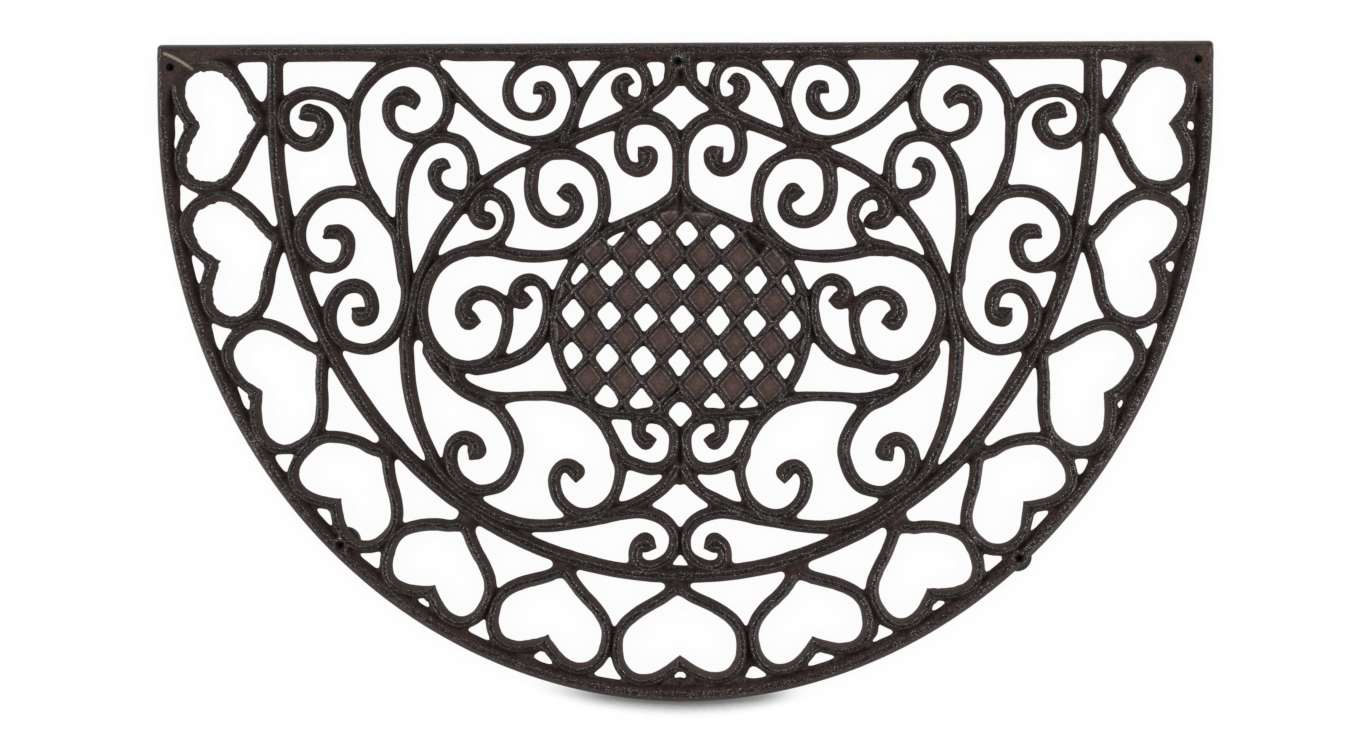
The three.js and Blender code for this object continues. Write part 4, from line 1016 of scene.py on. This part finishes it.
class Node:
    """A new shader node with its settings, and its inputs set to numbers or colours or joined to
    Values. Its outputs are had by name or number."""

    def __init__(self, tree, kind, inputs=None, **settings):
        self.node = tree.nodes.new(kind)
        for name, setting in settings.items():
            setattr(self.node, name, setting)
        for name, given in (inputs or {}).items():
            if isinstance(given, Value):
                tree.links.new(given.socket, self.node.inputs[name])
            else:
                self.node.inputs[name].default_value = given

    def __getitem__(self, output):
        return Value(self.node.outputs[output])


def maths(operation, first, second, clamp=False):
    """One step of arithmetic with at least one Value, held between 0 and 1 if it is clamped."""
    tree = (first if isinstance(first, Value) else second).tree
    inputs = {0: first, 1: second}
    return Node(tree, "ShaderNodeMath", inputs, operation=operation, use_clamp=clamp)[0]


def blend(factor, first, second):
    """A colour that goes from the first to the second with the factor."""
    first, second = (c if isinstance(c, Value) else (*c, 1) for c in (first, second))
    return Node(factor.tree, "ShaderNodeMix", {0: factor, 6: first, 7: second}, data_type="RGBA")[2]


def noise(place, size, detail=2.0, roughness=0.5):
    """Noise over a surface, with `size` cells to the metre."""
    return Node(place.tree, "ShaderNodeTexNoise", {
        "Vector": place, "Scale": size, "Detail": detail, "Roughness": roughness,
    })["Fac"]


def group_named(name, takes, make):
    """The node group of that name, made once. Its inputs have names and defaults, and its outputs
    are what `make` gives by name for the inputs' Values."""
    tree = bpy.data.node_groups.get(name)
    if tree:
        return tree
    tree = bpy.data.node_groups.new(name, "ShaderNodeTree")
    for title, default in takes.items():
        kind = "NodeSocketVector" if default is None else "NodeSocketFloat"
        socket = tree.interface.new_socket(title, in_out="INPUT", socket_type=kind)
        if default is not None:
            socket.default_value = default
    taken = Node(tree, "NodeGroupInput")
    given = make(*(taken[title] for title in takes))
    for title in given:
        tree.interface.new_socket(title, in_out="OUTPUT", socket_type="NodeSocketFloat")
    Node(tree, "NodeGroupOutput", given)
    return tree


def use_group(group, place, **inputs):
    """A node group on a surface, with its inputs set."""
    return Node(place.tree, "ShaderNodeGroup", {"Vector": place, **inputs}, node_tree=group)


def sand_grain(place, size, depth):
    """Sand grain: fine noise with scattered pits, as a height, and round grains of random
    brightness."""
    fine, coarse = noise(place, size, 3.0, 0.62), noise(place, size * 0.31)
    pits, grains = (
        Node(place.tree, "ShaderNodeTexVoronoi", {"Vector": place, "Scale": scale})
        for scale in (size * 0.42, size)
    )
    chance = Node(place.tree, "ShaderNodeSeparateColor", {"Color": grains["Color"]})[0]
    pitted = pits["Distance"].spread(0.06, 0.26, 1.0, 0.0) * coarse.spread(0.5, 0.62)
    return {
        "Height": fine + coarse * 0.8 - pitted * depth,
        "Flecks": chance.spread(0.4, 0.95) * grains["Distance"].spread(0.6, 0.25),
        "Fine": fine.spread(0.35, 0.65),
        "Pitting": pitted,
    }


def patches(place, size, amount):
    """Cloudy patches: two sizes of soft noise, the smaller breaking up the edges of the larger."""
    both = noise(place, size, 3.0, 0.6) + noise(place, size * 7.3) * 0.45
    return {"Patches": maths("ADD", (both - (1.02 - amount * 0.55)) * 5.0, 0.5, clamp=True)}


def new_material(name):
    """An empty material, its node tree and the place on the surface."""
    material = bpy.data.materials.new(name)
    material.use_nodes = True
    tree = material.node_tree
    tree.nodes.clear()
    return material, tree, Node(tree, "ShaderNodeTexCoord")["Object"]


def coat(tree, paint, roughness, specular, relief, strength, distance):
    """A non-metallic surface with a bump, as what the material gives."""
    bump = {"Strength": strength, "Distance": distance, "Height": relief}
    shader = Node(tree, "ShaderNodeBsdfPrincipled", {
        "Base Color": paint, "Roughness": roughness, "Metallic": 0.0,
        "Specular IOR Level": specular, "Normal": Node(tree, "ShaderNodeBump", bump)["Normal"],
    })
    Node(tree, "ShaderNodeOutputMaterial", {"Surface": shader[0]})


def iron_material(finish, grain, clouds):
    """Old black and brown iron: brown flanks with umber and rusty patches and a painted reflection
    at their foot, nearly black ridges with painted highlight lines and glints beside them and a few
    pale grains, painted shade in the grooves and round the foot holes, and a painted highlight on
    the outer edge."""
    material, tree, place = new_material("worn_iron")
    names = ("part", "hollow", "plate", "bare", "scratch", "lengthwise", "inner", "border")
    mask = {name: Node(tree, "ShaderNodeAttribute", attribute_name=name)["Fac"] for name in names}
    sand = use_group(grain, place, Size=820.0, Pits=0.5)
    speckle = use_group(grain, place, Size=1150.0, Pits=0.8)["Flecks"]
    dark, rusty, shiny = (
        use_group(clouds, place, Size=size, Amount=amount)["Patches"]
        for size, amount in ((24.0, 0.5), (46.0, finish.rusting), (70.0, 0.6))
    )
    mottle = noise(place, 420.0, 2.0, 0.6)
    left = Node(tree, "ShaderNodeSeparateXYZ", {"Vector": place})[0].spread(0.1, -0.3)

    # flanks: brown with umber and rusty patches, a pale painted reflection at the foot, and paler
    # inside the hearts
    paint = blend(mottle.spread(0.35, 0.65), finish.umber, finish.brown)
    paint = blend(sand["Fine"] * 0.5, paint, finish.umber)
    paint = blend(dark * 0.6, paint, finish.umber)
    paint = blend(rusty * 0.5 + left * 0.15, paint, finish.rust)
    # painted reflection of the white surroundings, paler towards the foot of each flank
    dust_and_reflection = mask["part"].spread(0.4, 0.08) * mottle.spread(0.35, 0.6, 0.1, 0.5)
    paint = blend(dust_and_reflection + mask["inner"] * 0.4, paint, finish.dust)
    paint = blend(left * 0.4, paint, finish.umber)

    # closed cells and the raised lip round each
    plate = mask["plate"]
    paint = blend(plate * mottle.spread(0.35, 0.65, 0.55, 0.9), paint, finish.plate)
    lip = plate.spread(0.15, 0.5) * plate.spread(0.95, 0.7) * mottle.spread(0.35, 0.6, 0.1, 0.35)
    paint = blend(lip, paint, finish.fleck)

    # ridges: a black crest with a painted highlight on each side, a grey sheen line with pale
    # glints, which wanders, is brighter on bars that run front to back, whose flanks face the
    # lamps, and is broader and fainter on the rim and the back bar; a few pale grains lie
    # everywhere
    level = mask["part"] + (noise(place, 140.0, 1.0) - 0.5) * 0.3
    crest, border = level.spread(0.68, 0.79), mask["border"]
    rubbed = crest * mottle.spread(0.3, 0.55, 0.6, 0.97) * border.spread(0, 1, 1.0, 0.72)
    paint = blend(rubbed, paint, finish.ridge)
    line = level.spread(0.74, 0.8) * level.spread(0.92, 0.84) * border.spread(0, 1, 1.0, 0.5)
    lit = (line + crest * border.spread(0, 1, 0.22, 0.45)) * left.spread(0, 1, 1.0, 0.72)
    lit = lit * (mask["lengthwise"].spread(0, 1, 0.5, 1.0) * shiny.spread(0, 1, 0.35, 1.15))
    paint = blend(line * 0.3, paint, finish.sheen)
    flecks = maths("MULTIPLY", speckle, lit + 0.09, clamp=True)
    paint = blend(flecks * finish.flecks, paint, finish.fleck)

    # painted shade in the grooves and round the foot holes, darkened pits, the painted highlight on
    # the outer edge, and the scratch
    sunk = maths("MAXIMUM", mask["hollow"] * 0.85, sand["Pitting"] * 0.75)
    paint = blend(sunk, paint, (0.004, 0.003, 0.003))
    paint = blend(mask["bare"] * mottle.spread(0.3, 0.55, 0.35, 0.95), paint, finish.bare)
    paint = blend(mask["scratch"] * 0.85, paint, (0.3, 0.28, 0.2))
    gloss = 0.62 - rubbed * 0.16 + mottle.spread(0.3, 0.7, -0.08, 0.1)
    coat(tree, paint, gloss, 0.08, sand["Height"], min(finish.grain, 1.0), 0.00032)
    return material


def rubber_material(finish, grain, clouds):
    """Black moulded rubber with a fine grain, pale patches of dirt on the heads, and painted shade
    that makes the stem nearly black where it stands in the hole.
    """
    material, tree, place = new_material("moulded_rubber")
    relief = use_group(grain, place, Size=1500.0, Pits=0.2)["Height"]
    head = Node(tree, "ShaderNodeSeparateXYZ", {"Vector": place})[2].spread(0.0065, 0.0055)
    dust_and_reflection = use_group(clouds, place, Size=160.0, Amount=0.45)["Patches"] * head
    # painted shade: above the head the stem is nearly black, as it lies in the shaded hole
    paint = blend(head, (0.002, 0.002, 0.002), finish.rubber)
    paint = blend(dust_and_reflection * 0.25, paint, (0.05, 0.047, 0.043))
    coat(tree, paint, dust_and_reflection.spread(0, 1, 0.6, 0.85), 0.3, relief, 0.3, 0.0002)
    return material


def seen(tree):
    """1 for rays from the camera and for mirrored and passing rays, 0 for rays that carry light."""
    rays = Node(tree, "ShaderNodeLightPath")
    mirrored = maths("MAXIMUM", rays["Is Glossy Ray"], rays["Is Transmission Ray"])
    return maths("MAXIMUM", rays["Is Camera Ray"], mirrored)


def floor_material(stage, half_depth):
    """White floor. The camera sees part plain white and part the lit floor with its shadow, and
    more of the shadow in front of the middle of the rim; a painted shadow from ambient occlusion
    darkens the lit floor close to the mat."""
    material, tree, place = new_material("white_floor")
    apart = Node(tree, "ShaderNodeSeparateXYZ", {"Vector": place})
    front = apart[1].spread((-half_depth + 16) * MM, (-half_depth - 2) * MM)
    middle = apart[0].spread(-0.115, -0.05) * apart[0].spread(0.09, 0.055)
    near = Node(tree, "ShaderNodeAmbientOcclusion", {"Distance": 0.016}, samples=16)["AO"]
    shown = front * middle * near.spread(0.95, 0.905) * (stage.front - stage.under) + stage.under
    tone = blend(noise(place, 60.0, 4.0).spread(0.3, 0.7, 0.0, 0.06), stage.floor, (0.9, 0.9, 0.9))
    # painted shadow: the floor's colour darkens where ambient occlusion finds the mat close
    tone = blend(near.spread(0.915, 0.83, 0.0, 0.68), tone, (0.04, 0.04, 0.04))
    lit = Node(tree, "ShaderNodeBsdfDiffuse", {"Color": tone, "Roughness": 1.0})[0]
    plain = Node(tree, "ShaderNodeEmission", {"Color": (1, 1, 1, 1), "Strength": 1.0})[0]
    both = Node(tree, "ShaderNodeMixShader", {0: seen(tree) * (1.0 - shown), 1: lit, 2: plain})
    Node(tree, "ShaderNodeOutputMaterial", {"Surface": both[0]})
    return material


def finish_named(name, maker):
    """The finish of that name, made once with the node groups it uses."""
    return bpy.data.materials.get(name) or maker(
        bpy.context.scene.door_mat_finish,
        group_named("sand grain", {"Vector": None, "Size": 900.0, "Pits": 0.4}, sand_grain),
        group_named("cloudy patches", {"Vector": None, "Size": 30.0, "Amount": 0.5}, patches),
    )


# ---------------------------------------------------------------- operators


def finished(piece, material, node):
    """Gives a piece its finish, hangs it on the root body and hides the CAD part that it takes the
    place of.
    """
    piece.data.materials.append(material)
    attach(piece, "root")
    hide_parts(node)


class DOORMAT_OT_casting(bpy.types.Operator):
    """Cast the openwork: rim, hearts, scrolls and lattice, in pieces small enough to export"""

    bl_idname = "door_mat.casting"
    bl_label = "Casting"

    def execute(self, context):
        field = casting_field(context.scene.door_mat_sizes)
        points, faces, normals, masks = top_surface(field)
        x, y = points[faces].mean(axis=1)[:, :2].T
        # the medallion ends one millimetre inside its ring's middle, and the border at the arc's
        across, up = (half - 1 for half in MEDALLION_HALVES)
        up = up * 2 * field.half_depth / DRAWN_DEPTH
        ellipse = np.hypot(x / field.to_x(across), (y - field.to_y(MEDALLION_Y)) / up)
        medallion = (ellipse < 1) & (y > field.to_y(SILL_Y))
        arc = arc_line(field)
        arc_y = np.interp(np.abs(x), arc[::-1, 0], arc[::-1, 1])
        arc_y = np.minimum(arc_y, field.to_y(ARC_SHOULDER))
        within = (np.abs(x) < arc[:, 0].max()) & (y > arc_y)
        parts = {"openwork_medallion": medallion}
        sides = {"left": x <= 0, "right": x > 0}
        back = y > field.to_y(70)
        for depth, chosen in (("back", back), ("front", ~back)):
            for side, half in sides.items():
                parts[f"openwork_scrolls_{depth}_{side}"] = within & chosen & half & ~medallion
        for side, half in sides.items():
            parts[f"openwork_border_{side}"] = ~within & half
        if sum(chosen.sum() for chosen in parts.values()) != len(faces):
            raise RuntimeError("the casting's parts leave out or share some of its surface")
        iron = finish_named("worn_iron", iron_material)
        for name, chosen in parts.items():
            piece = closed_piece(name, points, faces[chosen], normals, masks, field.mm["clearance"])
            finished(piece, iron, "mat_casting")
        return {"FINISHED"}


class DOORMAT_OT_feet(bpy.types.Operator):
    """Press the five rubber feet into their holes"""

    bl_idname = "door_mat.feet"
    bl_label = "Feet"

    def execute(self, context):
        rubber = finish_named("moulded_rubber", rubber_material)
        field = Field(context.scene.door_mat_sizes)
        under, stem = field.mm["clearance"] - FOOT_GAP, field.mm["hole"] / 2 - FOOT_GAP
        for node in FOOT_PLACES:
            low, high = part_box(node)
            centre = ((low.x + high.x) / 2 / MM, (low.y + high.y) / 2 / MM)
            head, top = (high.x - low.x) / 2 / MM, high.z / MM
            t = np.linspace(0, math.pi / 2, 7)
            heel = [(head - 1.5 + 1.5 * math.sin(a), 1.5 - 1.5 * math.cos(a)) for a in t]
            r, z = head - 0.7, under - 0.7
            shoulder = [(r + 0.7 * math.cos(a), z + 0.7 * math.sin(a)) for a in t]
            ribs = [(stem - (0.25 if k % 2 else 0.0), under + 0.5 + 0.55 * k) for k in range(9)]
            # the head about the middle of its box, with a dished sole and a groove round its side
            profile = [(*point, *centre) for point in (
                (0, 0.6), (head - 5.6, 0.6), (head - 5.0, 0.4), (head - 4.6, 0.0), *heel,
                (head, 2.6), (head - 0.15, 2.8), (head, 3.0), *shoulder,
            )]
            # the ribbed and hollow stem about the hole's own middle
            profile += [(*point, *foot_place(field, node)) for point in (
                (stem + 0.6, under), (stem, under + 0.2), *ribs, (stem, top - 1.2),
                (stem - 0.3, top - 0.2), (stem - 0.45, top), (stem - 0.6, top - 0.4),
                (stem - 0.7, under + 1.4), (stem - 1.1, under + 1.0), (0, under + 1.0),
            )]
            finished(turned_piece(node + "_moulding", profile), rubber, node)
        return {"FINISHED"}


class DOORMAT_OT_stage(bpy.types.Operator):
    """Lay the white floor and set the light and the camera"""

    bl_idname = "door_mat.stage"
    bl_label = "Stage"

    def execute(self, context):
        scene, stage = context.scene, context.scene.door_mat_stage
        lines = FLOOR_CELLS + 1
        u, v = np.meshgrid(*[np.linspace(-1, 1, lines) * FLOOR_HALF] * 2)
        points = np.stack([u, v, np.zeros(u.shape)], axis=-1).reshape(-1, 3)
        i, j = np.meshgrid(*[np.arange(FLOOR_CELLS)] * 2)
        a = (j * lines + i).ravel()
        b = a + lines
        triangles = [np.stack(corners, axis=1) for corners in ((a, a + 1, b + 1), (a, b + 1, b))]
        floor = mesh_object("floor", points, np.concatenate(triangles))
        floor.data.materials.append(floor_material(stage, Field(scene.door_mat_sizes).half_depth))

        for name, side in (("lamp_left", -1), ("lamp_right", 1)):
            lamp = bpy.data.lights.new(name, "AREA")
            lamp.shape, (lamp.size, lamp.size_y), lamp.energy = "RECTANGLE", LAMP_SIZE, stage.lamp
            placed = linked(name, lamp)
            placed.location = (side * LAMP_ASIDE, 0.0, LAMP_HEIGHT)
            aim = -placed.location.normalized()
            placed.rotation_euler = aim.to_track_quat("-Z", "Y").to_euler()

        scene.world = bpy.data.worlds.new("white_studio")
        scene.world.use_nodes = True
        tree = scene.world.node_tree
        tree.nodes.clear()
        even, white = (
            Node(tree, "ShaderNodeBackground", {"Color": (1, 1, 1, 1), "Strength": strength})[0]
            for strength in (stage.sky, 1.0)
        )
        both = Node(tree, "ShaderNodeMixShader", {0: seen(tree), 1: even, 2: white})
        Node(tree, "ShaderNodeOutputWorld", {"Surface": both[0]})

        camera = bpy.data.cameras.new("camera")
        camera.lens, camera.sensor_width, camera.sensor_fit = CAMERA_LENS, 36, "HORIZONTAL"
        camera.clip_start, camera.clip_end = 0.01, 50
        scene.camera = linked("camera", camera)
        scene.camera.matrix_world = (
            Matrix.Translation([c * MM for c in CAMERA_PLACE])
            @ Matrix.Rotation(math.radians(CAMERA_TURN), 4, "Y")
            @ Matrix.Rotation(math.radians(CAMERA_ROLL), 4, "Z")
        )
        scene.view_settings.view_transform = "Standard"
        return {"FINISHED"}


class DOORMAT_PT_panel(bpy.types.Panel):
    """Steps that build the mat, and its sizes and finish"""

    bl_label = "Door Mat"
    bl_idname = "DOORMAT_PT_panel"
    bl_space_type = "VIEW_3D"
    bl_region_type = "UI"
    bl_category = "Door Mat"

    def draw(self, context):
        for operator in OPERATORS:
            self.layout.operator(operator.bl_idname)
        for group in ("door_mat_sizes", "door_mat_finish", "door_mat_stage"):
            box = self.layout.box()
            settings = getattr(context.scene, group)
            for name in settings.__annotations__:
                box.prop(settings, name)


OPERATORS = (DOORMAT_OT_casting, DOORMAT_OT_feet, DOORMAT_OT_stage)
GROUPS = {
    "door_mat_sizes": DoorMatSizes,
    "door_mat_finish": DoorMatFinish,
    "door_mat_stage": DoorMatStage,
}


def register():
    for cls in (*GROUPS.values(), *OPERATORS, DOORMAT_PT_panel):
        bpy.utils.register_class(cls)
    for name, group in GROUPS.items():
        setattr(bpy.types.Scene, name, PointerProperty(type=group))


def unregister():
    for name in GROUPS:
        delattr(bpy.types.Scene, name)
    for cls in (DOORMAT_PT_panel, *reversed(OPERATORS), *reversed(GROUPS.values())):
        bpy.utils.unregister_class(cls)


def main():
    register()
    bpy.ops.door_mat.casting()
    bpy.ops.door_mat.feet()
    bpy.ops.door_mat.stage()


if __name__ == "__main__":
    main()
